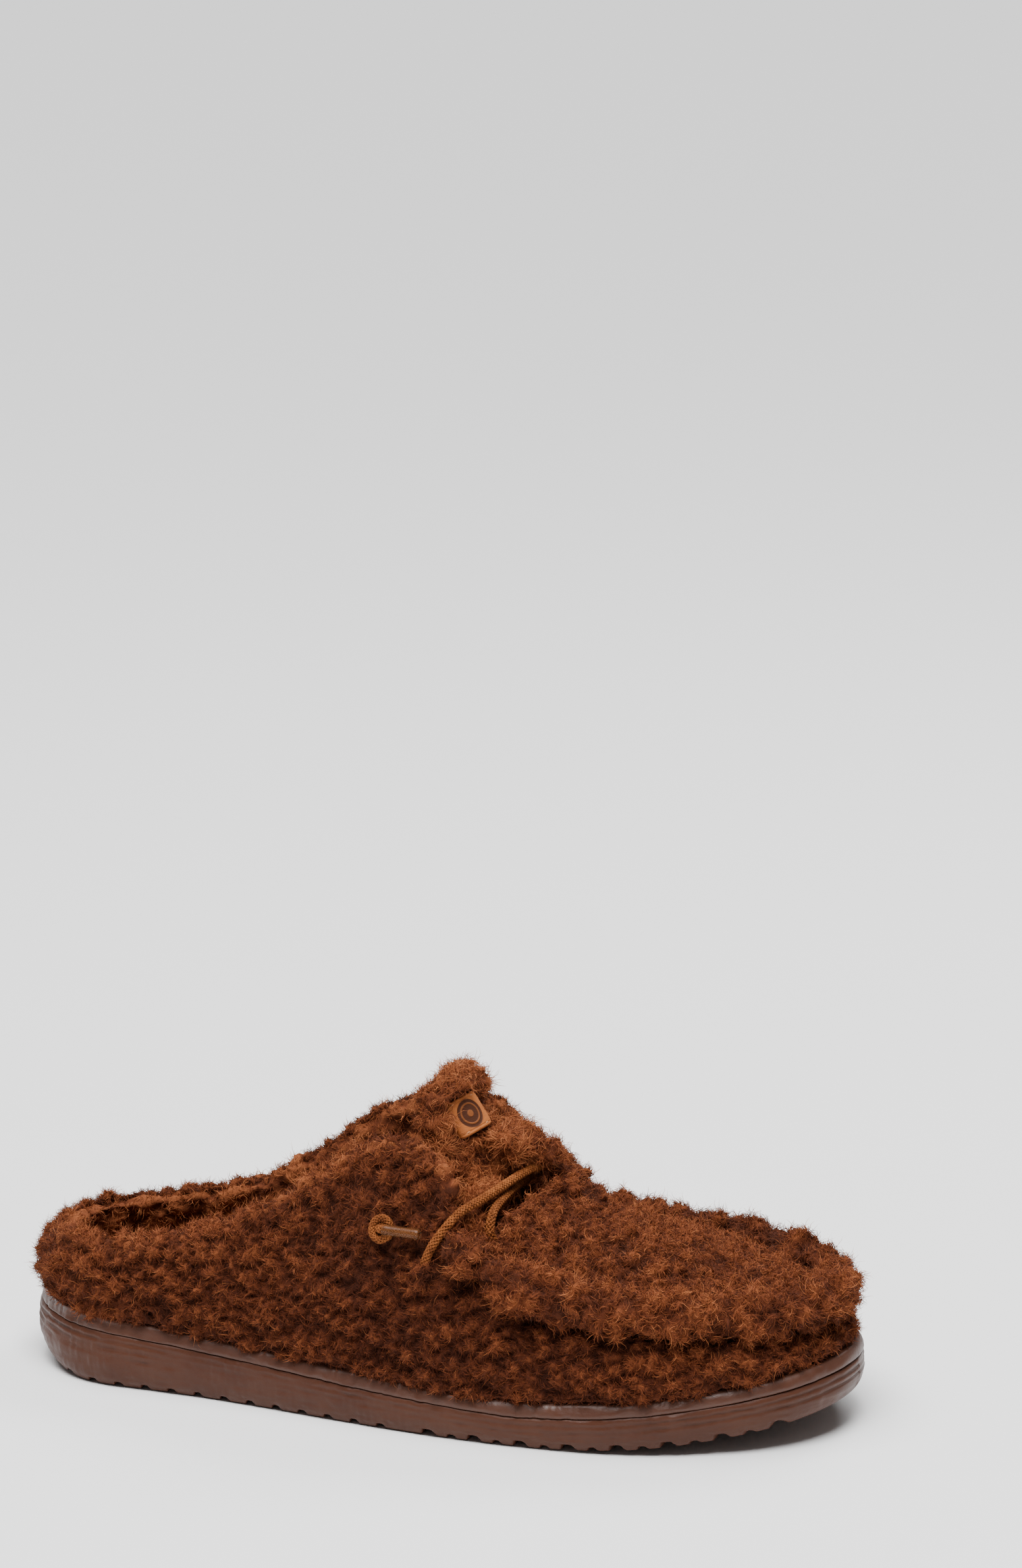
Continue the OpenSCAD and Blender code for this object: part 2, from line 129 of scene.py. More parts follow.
def curls(p, n, size, seed):
    """The curly pile at points p: height 0 to 1, each curl's tone and the way its fibres turn."""
    warped = p + 0.38 * size * noise(p, size * 0.9, seed + 1)
    a1, a2, _, _, clump = cells(warped, size, seed, 1.7)
    nugget = smooth(1.12 - a1 / 0.74) * (0.72 + 0.28 * smooth((a2 - a1) / 0.35))
    small = size * 0.5
    fine = p + 0.35 * small * noise(p, small, seed + 2)
    d1, d2, centre, axis, tone = cells(fine, small, seed + 3, 1.5)
    curl = smooth(1.12 - d1 / 0.74) * (0.7 + 0.3 * smooth((d2 - d1) / 0.35))
    r = fine - centre
    r = r - n * dot(r, n)
    turn = np.where(tone < 0.5, 1.0, -1.0)[:, None]
    around = unit(unit(np.cross(n, r) + 1e-6) * turn + 0.6 * (axis - n * dot(axis, n)))
    return 0.6 * nugget + 0.4 * curl, 0.55 * clump + 0.45 * tone, around


# ---------------- the sole's lines, as in the CAD

def curve(x, p):
    """A smooth curve through the points p, at x."""
    p = np.array(p, float)
    x = np.clip(x, p[0, 0], p[-1, 0])
    i = np.clip(np.searchsorted(p[:, 0], x, side="right") - 1, 0, len(p) - 2)
    a, b, c, d = p[np.maximum(i - 1, 0)], p[i], p[i + 1], p[np.minimum(i + 2, len(p) - 1)]
    h = c[:, 0] - b[:, 0]
    t = (x - b[:, 0]) / h
    m0 = (c[:, 1] - a[:, 1]) / (c[:, 0] - a[:, 0]) * h
    m1 = (d[:, 1] - b[:, 1]) / (d[:, 0] - b[:, 0]) * h
    return (b[:, 1] * (2 * t**3 - 3 * t**2 + 1) + m0 * (t**3 - 2 * t**2 + t) + c[:, 1] * (3 * t**2 - 2 * t**3)
            + m1 * (t**3 - t**2))


HALF_LENGTH = 146
BALL_W, HEEL_W = 110.0, 82.0
BALL_X, HEEL_X = 70.0, -104.0     # where the toe's round and the heel's round start


def half_width(x):
    toe = BALL_W / 2 * np.sqrt(np.clip(1 - ((x - BALL_X) / (HALF_LENGTH - BALL_X)) ** 2, 0, 1))
    heel = HEEL_W / 2 * np.sqrt(np.clip(1 - ((HEEL_X - x) / (HALF_LENGTH + HEEL_X)) ** 2, 0, 1))
    t = np.clip((x - HEEL_X) / (BALL_X - HEEL_X), 0, 1)
    waist = HEEL_W / 2 + (BALL_W - HEEL_W) / 2 * smooth(t**1.2)
    return np.where(x > BALL_X, toe, np.where(x < HEEL_X, heel, waist))


def swing(x):
    """How far the sole's middle line bends to the medial side."""
    return 6 * smooth((x - 20) / 126) - 4 * np.exp(-((x + 10) / 60) ** 2)


def middle():
    """The middle of the outline's box across the floor."""
    x = np.arange(-HALF_LENGTH, HALF_LENGTH + 0.1, 2)
    return ((swing(x) - half_width(x)).min() + (swing(x) + half_width(x)).max()) / 2


MIDDLE = middle()


def edge(s):
    """The sole's outline: s is 0 at the heel, 0.5 at the toe by the lateral side, and 1 at the heel again."""
    x = -HALF_LENGTH * np.cos(2 * pi * s)
    side = np.where(s % 1 < 0.5, -1.0, 1.0)
    return np.stack([x, swing(x) - MIDDLE + side * half_width(x)], 1)


def edge_in(s, d):
    """The outline moved in by d."""
    t = unit(edge(s + 0.004) - edge(s - 0.004))
    p = edge(s)
    return np.stack([p[:, 0] - t[:, 1] * d, p[:, 1] + t[:, 0] * d], 1)


def ground(x):
    """The tread's height: the toe and the back of the heel curve up off the floor."""
    return 8 * np.maximum(0, (-117 - x) / 29) ** 2 + 12 * np.maximum(0, (x - 47) / 99) ** 2


def top_line(x):
    """The sole's top edge."""
    back_part = 16 + 11 * (np.maximum(0, 40 - x) / 186) ** 1.2
    front = 16 + 13 * (np.clip(x - 40, 0, 106) / 106) ** 1.7
    return np.where(x < 40, back_part, front)


BAND = 5     # the upper band's height


def joint_line(x):
    return top_line(x) - BAND


# ---------------- meshes

def add(name, data):
    ob = bpy.data.objects.new(name, data)
    bpy.context.scene.collection.objects.link(ob)
    return ob


def read(items, key, width, kind=np.int32):
    """A property of all of a mesh's items, one row each."""
    out = np.empty(len(items) * width, kind)
    items.foreach_get(key, out)
    return out.reshape(-1, width)


def make(name, co, quads=(), tris=(), material=None, values=None):
    """A new smooth-shaded object through points in millimetres, with named per-point values."""
    quads = np.asarray(quads, np.int32).reshape(-1, 4)
    tris = np.asarray(tris, np.int32).reshape(-1, 3)
    me = bpy.data.meshes.new(name)
    me.vertices.add(len(co))
    me.vertices.foreach_set("co", (np.asarray(co) * MM).astype(np.float32).ravel())
    me.loops.add(quads.size + tris.size)
    me.loops.foreach_set("vertex_index", np.concatenate([quads.ravel(), tris.ravel()]))
    me.polygons.add(len(quads) + len(tris))
    starts = np.concatenate([np.arange(len(quads)) * 4, len(quads) * 4 + np.arange(len(tris)) * 3])
    me.polygons.foreach_set("loop_start", starts.astype(np.int32))
    me.polygons.foreach_set("use_smooth", np.ones(len(starts), bool))
    me.update(calc_edges=True)
    for key, v in (values or {}).items():
        me.attributes.new(key, "FLOAT", "POINT").data.foreach_set("value", np.asarray(v, np.float32))
    if material:
        me.materials.append(material)
    return add(name, me)


def points_of(me):
    return read(me.vertices, "co", 3, np.float32).astype(float) / MM


def normals(co, quads):
    a, b, c, d = (co[quads[:, k]] for k in range(4))
    face = np.cross(c - a, d - b)
    out = np.zeros_like(co)
    for k in range(4):
        for axis in range(3):
            out[:, axis] += np.bincount(quads[:, k], face[:, axis], len(co))
    return unit(out)


def relax(co, quads, rounds):
    """Smooths a mesh without shrinking it."""
    a = np.concatenate([quads[:, k] for k in range(4)])
    b = np.concatenate([quads[:, (k + 1) % 4] for k in range(4)])
    count = np.bincount(a, minlength=len(co)) + np.bincount(b, minlength=len(co))
    for k in range(rounds):
        mean = np.empty_like(co)
        for axis in range(3):
            mean[:, axis] = np.bincount(a, co[b, axis], len(co)) + np.bincount(b, co[a, axis], len(co))
        mean /= np.maximum(count, 1)[:, None]
        co = co + (mean - co) * (0.6 if k % 2 == 0 else -0.62)
    return co


def loop_quads(rows, around, closed=False):
    """Quads between rows of points that each run once round; closed joins the last row to the first."""
    i = np.arange(around)
    nxt = (i + 1) % around
    pairs = [(k * around, (k + 1) % rows * around) for k in range(rows if closed else rows - 1)]
    return np.concatenate([np.stack([low + i, low + nxt, high + nxt, high + i], 1) for low, high in pairs])


def ball(centre, radius):
    """A round blob that a skin can take in: points and triangles."""
    rows, w = 12, 24
    a = np.linspace(0.02, pi - 0.02, rows)
    b = np.arange(w) * pi / rows
    sin_a, cos_a = np.sin(a), np.cos(a)
    co = np.stack([np.outer(sin_a, np.cos(b)), np.outer(sin_a, np.sin(b)), np.outer(cos_a, np.ones(w))], -1)
    q = loop_quads(rows, w)
    last = (rows - 1) * w
    fan = range(1, w - 1)
    caps = [[0, k, k + 1] for k in fan] + [[last, last + k + 1, last + k] for k in fan]
    tris = np.concatenate([q[:, [0, 3, 2]], q[:, [0, 2, 1]], caps])
    return co.reshape(-1, 3) * radius + np.array(centre), tris


def dense(cad, voxel, blobs=()):
    """A dense, smooth skin over a CAD solid and round blobs: points in millimetres and quads."""
    me = frame["nodes"][cad].data
    me.calc_loop_triangles()
    forms = [ball(*blob) for blob in blobs] + [(points_of(me), read(me.loop_triangles, "vertices", 3))]
    tris, at = [], 0
    for co, t in forms:
        tris.append(t + at)
        at += len(co)
    ob = make("skin", np.concatenate([co for co, _ in forms]), tris=np.concatenate(tris))
    weld = ob.modifiers.new("weld", "WELD")
    weld.merge_threshold = 0.00001
    mod = ob.modifiers.new("remesh", "REMESH")
    mod.mode = "VOXEL"
    mod.voxel_size = voxel * MM * 1
    got = ob.evaluated_get(bpy.context.evaluated_depsgraph_get())
    me = got.to_mesh()
    co, quads = points_of(me), read(me.loops, "vertex_index", 1).reshape(-1, 4)
    got.to_mesh_clear()
    data = ob.data
    bpy.data.objects.remove(ob)
    bpy.data.meshes.remove(data)
    return relax(co, quads, 24), quads


def gap_to(co, others, reach, pick=None):
    """Distance from each point to the nearest of other points, no further than reach."""
    kd = KDTree(len(others))
    for i, p in enumerate(others):
        kd.insert(p, i)
    kd.balance()
    out = np.full(len(co), float(reach))
    for i in (range(len(co)) if pick is None else np.flatnonzero(pick)):
        found = kd.find(co[i])
        if found[2] is not None and found[2] < reach:
            out[i] = found[2]
    return out


def stand_in(ob, cad, body):
    """Puts an object in the place of a CAD node, on one body."""
    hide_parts(cad)
    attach(ob, body)


# ---------------- materials

def material(name, colour, rough, **more):
    m = bpy.data.materials.new(name)
    m.use_nodes = True
    b = m.node_tree.nodes["Principled BSDF"]
    b.inputs["Base Color"].default_value = (*colour, 1)
    b.inputs["Roughness"].default_value = rough
    for key, v in more.items():
        b.inputs[key.replace("_", " ")].default_value = v
    return m


def node(m, kind, **settings):
    n = m.node_tree.nodes.new(kind)
    for key, v in settings.items():
        if key.startswith("in_"):
            n.inputs[key[3:].replace("_", " ")].default_value = v
        else:
            setattr(n, key, v)
    return n


def link(m, a, b):
    m.node_tree.links.new(a, b)


def shader(m):
    return m.node_tree.nodes["Principled BSDF"]


def coords(m):
    return node(m, "ShaderNodeTexCoord").outputs["Object"]


def noise_in(m, scale, detail=3, rough=0.6, distortion=0.0, vector=None):
    n = node(m, "ShaderNodeTexNoise", in_Scale=scale, in_Detail=detail, in_Roughness=rough,
             in_Distortion=distortion)
    link(m, vector or coords(m), n.inputs["Vector"])
    return n.outputs[0]


def ramp(m, value, stops):
    r = node(m, "ShaderNodeValToRGB")
    e = r.color_ramp.elements
    while len(e) < len(stops):
        e.new(0.5)
    for k, (at, colour) in enumerate(stops):
        e[k].position = at
        e[k].color = (*colour, 1)
    link(m, value, r.inputs[0])
    return r.outputs[0]


def paint(m, value, stops):
    """The base colour, from a ramp over a value."""
    link(m, ramp(m, value, stops), shader(m).inputs["Base Color"])


def blend_colour(m, factor, a, b, how="MIX"):
    n = node(m, "ShaderNodeMix", data_type="RGBA", blend_type=how)
    if isinstance(factor, float):
        n.inputs[0].default_value = factor
    else:
        link(m, factor, n.inputs[0])
    for socket, v in ((n.inputs[6], a), (n.inputs[7], b)):
        if isinstance(v, tuple):
            socket.default_value = (*v, 1)
        else:
            link(m, v, socket)
    return n.outputs[2]


def bump(m, height, strength, distance):
    n = node(m, "ShaderNodeBump", in_Strength=strength, in_Distance=distance)
    link(m, height, n.inputs["Height"])
    link(m, n.outputs[0], shader(m).inputs["Normal"])


def wool(name, dark, mid, light, fine):
    """Pile whose colour runs from dark in the gaps to light on the curls: painted shade in the gaps
    and painted light on the curls' tops, read from the pile value.
    """
    m = material(name, mid, 0.88, Sheen_Weight=0.45, Sheen_Roughness=0.35, Sheen_Tint=(*light, 1),
                 Specular_IOR_Level=0.2)
    pile = node(m, "ShaderNodeAttribute", attribute_name="pile").outputs["Fac"]
    tone = node(m, "ShaderNodeAttribute", attribute_name="tone").outputs["Fac"]
    # Painted shade and painted light: the pile value runs the colour from dark in the gaps to light on the
    # tops
    base = ramp(m, pile, [(0.02, dark), (0.5, mid), (0.95, light)])
    tint = ramp(m, tone, [(0.1, (0.8, 0.77, 0.75)), (0.5, (0.98, 0.98, 0.98)), (0.9, (1.14, 1.17, 1.2))])
    base = blend_colour(m, 0.6, base, tint, "MULTIPLY")
    threads = noise_in(m, fine, 5, 0.75, 1.6)
    fleck = ramp(m, threads, [(0.3, (0.7, 0.66, 0.62)), (0.62, (1.2, 1.22, 1.25))])
    base = blend_colour(m, 0.6, base, fleck, "MULTIPLY")
    link(m, base, shader(m).inputs["Base Color"])
    bump(m, threads, 0.75, 0.0012)
    return m


outer_wool = wool("outer_sherpa", (0.033, 0.0072, 0.0021), (0.1, 0.0227, 0.0066), (0.21, 0.058, 0.018), 900)
lining_wool = wool("lining_sherpa", (0.032, 0.0075, 0.0024), (0.115, 0.027, 0.008),
                   (0.23, 0.067, 0.0215), 800)

# Fibre colours, dark to light; each fibre's pick paints shade in the gaps and light on the curls' tops
SHADES = [(0.058, 0.0120, 0.0033), (0.122, 0.0282, 0.0080), (0.225, 0.060, 0.0180), (0.39, 0.128, 0.0435)]
fibre_wool = [material(f"fibre_{k}", c, 0.7, Sheen_Weight=0.3, Sheen_Roughness=0.4, Sheen_Tint=(*c, 1),
                       Specular_IOR_Level=0.2) for k, c in enumerate(SHADES)]


# ---------------- pile

def axis_of(co):
    """The way out from the slipper's long middle line, across the floor."""
    x = np.clip(co[:, 0], -92, 88)
    return unit(np.stack([co[:, 0] - x, co[:, 1] - (swing(x) - 0.9), np.zeros(len(co))], 1))


def rotate(v, n, angle):
    c, s = np.cos(angle)[:, None], np.sin(angle)[:, None]
    return v * c + np.cross(n, v) * s + n * dot(n, v) * (1 - c)


THIRD_TURN = 2.094     # in radians


def fibre_parts(steps, root, n, way, length, radius, lift, turn, bend):
    """Tapering three-sided fibres that start at root along way, rise off the surface and arc back to it."""
    d = unit(way + n * lift[:, None])
    pts = [root - n * 0.3]
    dirs = []
    for k in range(steps):
        dirs.append(d)
        pts.append(pts[-1] + d * (length / steps)[:, None])
        d = unit(rotate(d, n, turn) - n * bend[:, None])
    rings = []
    for k in range(steps):
        t = dirs[k]
        u = unit(np.cross(t, n) + 1e-6)
        v = np.cross(t, u)
        r = radius * (1 - 0.35 * k / (steps - 1))
        for a in range(3):
            rings.append(pts[k] + r[:, None] * (cos(THIRD_TURN * a) * u + sin(THIRD_TURN * a) * v))
    rings.append(pts[steps])
    co = np.stack(rings, 1).reshape(-1, 3)
    base = (np.arange(len(root)) * (3 * steps + 1))[:, None]
    turns = ((0, 1), (1, 2), (2, 0))
    quads = [[3 * k + a, 3 * k + b, 3 * k + 3 + b, 3 * k + 3 + a] for k in range(steps - 1) for a, b in turns]
    last = 3 * (steps - 1)
    tris = [[last + a, last + b, last + 3] for a, b in turns] + [[2, 1, 0]]
    quads = (base[:, :, None] + np.array(quads)[None]).reshape(-1, 4)
    tris = (base[:, :, None] + np.array(tris)[None]).reshape(-1, 3)
    return co, quads, tris


fibres = []       # one entry per skin: (name, shade of each fibre, arguments of fibre_parts)


def scatter(co, quads, n, weight, count):
    """Random places on a skin, thicker where weight is high."""
    a, b, c, d = (co[quads[:, k]] for k in range(4))
    area = np.linalg.norm(np.cross(c - a, d - b), axis=1) * weight[quads].mean(1)
    pick = rng.choice(len(quads), int(count * SHARE), p=area / area.sum())
    u, v = rng.random((2, len(pick), 1))
    q = quads[pick]
    at = (co[q[:, 0]] * (1 - u) + co[q[:, 1]] * u) * (1 - v) + (co[q[:, 3]] * (1 - u) + co[q[:, 2]] * u) * v
    return at, unit(n[q].mean(1)), q[:, 0]


RADIUS, LIFT, TURN = 0.115, 0.55, 0.6     # a fibre's radius, how it rises off the skin and how it turns


def pile(name, cad, voxel, mask, size, depth, count, seed, length=4.4, creases=(), puff=None, bare=None,
         move=None, lighten=0.0, mat=outer_wool, blobs=(), stray_share=0.05, least=-2.4):
    """Gives a CAD solid a curly pile: a lumpy skin, and loose fibres along its curls, kept in fibres.
    size and depth are the curls', length the fibres'. creases are (other skin, depth, reach): the pile
    sinks and thins towards them, and its colour is painted darker there, as shade. puff adds height, bare
    says where no fibres grow and where the colour is painted darker, as shade, move moves points, lighten
    is a number or a function that makes the colour lighter, and least is the deepest that the skin may sink."""
    skin, quads = dense(cad, voxel, blobs)
    n = normals(skin, quads)
    w = mask(skin, n)
    height, tone, around = curls(skin, n, size, seed)
    swell = noise(skin, 17, seed + 5)[:, 0]
    small = noise(skin, 1.7, seed + 6)[:, 0]
    open_air = np.ones(len(skin))
    rise = (depth * (height - 0.45) + 1.0 * swell + 0.25 * small) * w
    for others, deep, reach in creases:
        near = smooth((reach - gap_to(skin, others, reach + 1)) / reach)
        rise -= deep * near
        # Painted shade: the colour darkens towards a crease, and fewer fibres grow there
        open_air *= 1 - 0.85 * near
    if puff is not None:
        rise += puff(skin, n, w)
    co = skin + n * np.maximum(rise, least)[:, None]
    if bare is not None:
        # Painted shade: where bare is high the colour darkens and no fibres grow
        open_air *= 1 - bare(co)
    if move is not None:
        co = move(co)
    top = np.clip((height - 0.12) / 0.76, 0, 1)
    drift = 0.06 * noise(skin, 42, seed + 9)[:, 0] + (lighten(skin, n) if callable(lighten) else lighten)
    # The pile value paints light on the curls' tops and shade in the gaps, by creases and behind the label
    values = {"pile": np.clip(top + drift, 0, 1) * (0.35 + 0.65 * w) * (0.2 + 0.8 * open_air), "tone": tone}
    ob = make(name, co, quads, material=mat, values=values)
    n2 = normals(co, quads)
    if count:
        at, way_n, where = scatter(co, quads, n2, w * open_air**2 * (0.45 + top), count)
        _, tone_at, turn_at = curls(at, way_n, size, seed)
        k = len(at)
        way = unit(turn_at + 0.45 * rng.normal(size=(k, 3)))
        sign = np.where(tone_at < 0.5, 1.0, -1.0)
        stray = rng.random(k) < stray_share
        # A fibre's colour: painted light on the curls' tops and painted shade in the gaps, plus random tone
        # and drift
        level = 1.7 * top[where] + 0.9 * tone_at + 1.9 * rng.random(k) + 4 * drift[where] + stray - 0.9
        shade = np.clip(level, 0, 3).astype(int)
        fibres.append((name, shade, (
            at, way_n, way, length * rng.uniform(0.55, 1.2, k) * np.where(stray, 1.4, 1),
            RADIUS * rng.uniform(0.75, 1.3, k) * np.where(stray, 0.7, 1),
            LIFT * rng.uniform(0.5, 1.6, k) + 0.5 * stray,
            sign * TURN * rng.uniform(0.5, 1.5, k), rng.uniform(0.2, 0.75, k) * np.where(stray, 0.4, 1))))
    return ob


def wall_mask(co, n):
    out = smooth((dot(n, axis_of(co))[:, 0] + 0.15) / 0.5)
    return np.maximum(out, smooth((n[:, 2] - 0.2) / 0.4))


def collar_mask(co, n):
    """As wall_mask, and the inner face too where it stands clear of the lining, round the opening."""
    out = wall_mask(co, n)
    inner_face = (out < 0.9) & (co[:, 0] < 22) & (co[:, 2] > 36)
    clear_of = smooth((gap_to(co, skins["wall_lining"], 5, inner_face) - 1.6) / 1.6)
    return np.where(inner_face, np.maximum(out, clear_of), out)


def lining_mask(co, n):
    inward = smooth((-dot(n, axis_of(co))[:, 0] + 0.1) / 0.5)
    return np.maximum(inward, smooth((n[:, 2] - 0.2) / 0.4))


def up_mask(co, n):
    return smooth((n[:, 2] + 0.1) / 0.45)


def all_mask(co, n):
    return np.ones(len(co))


skins = {k: dense(k, 1.4)[0] for k in ("heel_panel", "side_wall", "moc_ridge", "vamp_plug", "wall_lining")}

# The label's place: its face, its up and side directions in that face, and its middle
LABEL = 14.0
yaw, tip, turned = radians(-34), radians(57), radians(14)
label_face = np.array([cos(yaw) * sin(tip), sin(yaw) * sin(tip), cos(tip)])
label_up = np.array([-cos(yaw) * cos(tip), -sin(yaw) * cos(tip), sin(tip)])
label_up = label_up * cos(turned) + np.cross(label_face, label_up) * sin(turned)
label_side = np.cross(label_face, label_up)
label_lo, label_hi = (np.array(v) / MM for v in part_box("tongue_label"))
label_mid = (label_lo + label_hi) / 2 + label_face * 1.0


def under_label(co):
    """1 behind the label, falling to 0 round it."""
    r = co - label_mid
    out = LABEL / 2 + 1.2 - np.maximum(np.abs(r @ label_up), np.abs(r @ label_side))
    return smooth(out / 1.6) * (r @ label_face > -12)


def press_label(co):
    """Presses the pile down behind the label."""
    high = np.maximum((co - label_mid) @ label_face + 0.4, 0)
    return co - label_face * (high * under_label(co))[:, None]


def at_collar(co):
    """1 along the opening, falling to 0 in front of the tongue."""
    return smooth((16 - co[:, 0]) / 14)


def settle(co):
    """The pile round the opening sits lower than the solid's edge, most on the lateral side."""
    co = co.copy()
    lateral = smooth((2 - co[:, 1]) / 16) * smooth((-10 - co[:, 0]) / 18) * smooth((co[:, 0] + 130) / 30)
    co[:, 2] -= (1.6 + 4.4 * lateral) * at_collar(co) * smooth((co[:, 2] - 32) / 20)
    return co


def hem(co, hang=0.0):
    """The pile doesn't hang far below the sole's top edge."""
    co = co.copy()
    wavy = 1.6 * noise(co * (1, 1, 0), 5, 91)[:, 0]
    co[:, 2] = np.maximum(co[:, 2], top_line(co[:, 0]) - 0.5 - hang + wavy)
    return co


def press_toe(co):
    """The pile over the toes lies lower than the solids, and the wall under it is a little shorter."""
    co = co.copy()
    co[:, 2] -= 3.0 * smooth((co[:, 0] - 84) / 46) * smooth((co[:, 2] - 27) / 17)
    return co


def inside(co):
    """Where the lining and the stitches end up."""
    return press_toe(settle(co))


def outside(co):
    """Where the wall's outer pile ends up."""
    return hem(inside(co))


def wall_shape(co, n, w):
    """The wall's pile lies flatter round the toe, and rolls over the collar onto the lining."""
    collar = at_collar(co)
    ends = -2.0 * smooth((co[:, 0] - 116) / 22) - 0.8 * smooth((-112 - co[:, 0]) / 20)
    inward = smooth((-dot(n, axis_of(co))[:, 0] + 0.2) / 0.6)
    return ends * w + 0.6 * smooth((n[:, 2] + 0.1) / 0.6) * collar + 2.4 * inward * w * collar


def painted_wall_light(co, n):
    """Painted light from above: the pile is paler where it faces up, along the collar. It is also darker
    round the waist.
    """
    return 0.10 * smooth(n[:, 2] / 0.8) - 0.09 * np.exp(-((co[:, 0] + 5) / 50) ** 2) - 0.03


HEEL_MID, ROLL = (-100.0, -1.5), 4.4     # the middle of the heel's round, and the collar roll's radius


def collar_roll():
    """Round tufts all along the opening's edge, where wall and lining meet in one soft roll."""
    wall_skin = np.concatenate([skins["side_wall"], skins["heel_panel"]])
    out = []
    stops = [(x, side * pi / 2) for side in (-1, 1) for x in np.arange(HEEL_MID[0], 17, 2.6)]
    stops += [(HEEL_MID[0], a) for a in np.radians(np.arange(93, 268, 4))]
    for x, angle in stops:
        way = np.array([cos(angle), sin(angle)])
        edges = []
        for skin in (wall_skin, skins["wall_lining"]):
            r = skin[:, :2] - (x, HEEL_MID[1])
            near = (np.abs(r @ (-way[1], way[0])) < 2.2) & (r @ way > 8) & (skin[:, 2] > 36)
            high = skin[near]
            rim = high[high[:, 2] > high[:, 2].max() - 2.5]
            edges.append(((rim[:, :2] - (x, HEEL_MID[1])) @ way, high[:, 2].max()))
        reach = 0.55 * edges[0][0].mean() + 0.45 * edges[1][0].mean()
        top = min(edges[0][1], edges[1][1] + 1)
        out.append(((x + way[0] * reach, HEEL_MID[1] + way[1] * reach, top - ROLL * 0.95), ROLL))
    return out


def ridge_shape(co, n, w):
    return 1.0 + 0.5 * smooth(n[:, 2] + 0.4)


def tongue_shape(co, n, w):
    """The tongue's pile bulges forward above the lace, and puffs out at its top."""
    low = np.exp(-((co[:, 2] - 87) / 6.5) ** 2 - ((co[:, 1] - 4) / 11) ** 2) * smooth(n[:, 0] * 2)
    top = smooth((co[:, 2] - 102) / 9) * smooth(n[:, 0] * 2 + 0.3)
    return 2.0 * low + 1.5 * top - 2.5 * smooth((co[:, 2] - 107) / 8) * smooth(n[:, 2] * 2)


# Round tufts that the pile takes in: the ridge's ends at the lace, where the lace goes into the wall, the
# fur over the lace's far end, and the tongue's head and foot
RIDGE_ENDS = [((24, -46.0, 62.5), 5.6), ((21, -46.4, 64.0), 5.0), ((18.6, -45.2, 64.5), 4.2),
              ((26, 38.5, 66.0), 6.0), ((22, 39.5, 68.0), 5.6), ((18, 40.0, 70.0), 4.8),
              ((31, 31.0, 68.5), 5.4)]
LACE_FEET = [((10.5, -49.3, 56.2), 4.3), ((10.5, 43.1, 56.2), 4.3)]
LACE_COVER = [((39.5, 11, 74.5), 5.2), ((43, 5, 71), 5.5), ((40, 19, 71), 6), ((50, 9, 68.5), 6)]
TONGUE_HEAD = [((7, 4, 106.5), 6.0), ((5.5, -9, 108), 5.5), ((7, -2, 108), 5.5), ((35, 8, 84.5), 4.2),
               ((29, 8, 86), 4.5), ((23, 11, 88), 5.0), ((24.5, -3, 89.5), 4.5), ((20, -13, 72.5), 5.2),
               ((19.5, -22, 71.5), 5.6), ((20, -30, 69), 5.0)]

wall = pile("side_wall_pile", "side_wall", 0.84, collar_mask, size=6.4, depth=4.6, count=100000, seed=21,
            creases=[(skins["heel_panel"], 1.0, 3.5), (skins["moc_ridge"], 1.5, 5)], length=3.4,
            puff=wall_shape, move=outside, lighten=painted_wall_light, blobs=LACE_FEET, stray_share=0.07)
heel = pile("heel_panel_pile", "heel_panel", 0.84, collar_mask, size=7.6, depth=4.8, count=15000, seed=22,
            creases=[(skins["side_wall"], 1.2, 3.5)], length=3.6, puff=wall_shape, move=outside,
            lighten=painted_wall_light, stray_share=0.07, least=-1.2)
ridge = pile("moc_ridge_pile", "moc_ridge", 0.8, all_mask, size=8.2, depth=5.6, count=34000, seed=23,
             creases=[(skins["side_wall"], 1.0, 4), (skins["vamp_plug"], 1.2, 4)], length=4.2,
             puff=ridge_shape, move=press_toe, lighten=0.04, blobs=RIDGE_ENDS, stray_share=0.1)
plug = pile("vamp_plug_pile", "vamp_plug", 0.8, up_mask, size=6.0, depth=5.0, count=28000, seed=24,
            creases=[(skins["moc_ridge"], 2.2, 5)], length=3.4, move=press_toe, blobs=LACE_COVER,
            stray_share=0.08)
inner = pile("wall_lining_pile", "wall_lining", 1.15, lining_mask, size=8.0, depth=4.2, count=32000, seed=25,
             length=4.2, move=inside, lighten=0.26, mat=lining_wool, blobs=collar_roll(), stray_share=0.08)
vamp = pile("vamp_lining_pile", "vamp_lining", 1.2, all_mask, size=5, depth=1.0, count=0, seed=26,
            move=press_toe, mat=lining_wool)
shell = pile("tongue_pile", "tongue_shell", 0.7, all_mask, size=9.5, depth=5.6, count=18000, seed=27,
             length=4.8, puff=tongue_shape, bare=under_label, move=press_label, lighten=0.25,
             blobs=TONGUE_HEAD, stray_share=0.1)
back = pile("tongue_lining_pile", "tongue_lining", 0.8, all_mask, size=8.5, depth=4.2, count=10000, seed=28,
            length=4.4, puff=tongue_shape, lighten=0.2, mat=lining_wool, stray_share=0.1)
bed = pile("footbed_pile", "footbed_cover", 1.2, up_mask, size=5.0, depth=2.0, count=10000, seed=29,
           length=2.6, mat=lining_wool)

for ob, cad in ((wall, "side_wall"), (heel, "heel_panel"), (ridge, "moc_ridge"), (plug, "vamp_plug")):
    stand_in(ob, cad, "slipper")
for ob, cad in ((inner, "wall_lining"), (vamp, "vamp_lining"), (bed, "footbed_cover")):
    stand_in(ob, cad, "slipper")
for ob, cad, slot in ((shell, "tongue_shell", "sherpa_outer"), (back, "tongue_lining", "sherpa_lining")):
    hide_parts(cad)
    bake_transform(ob)

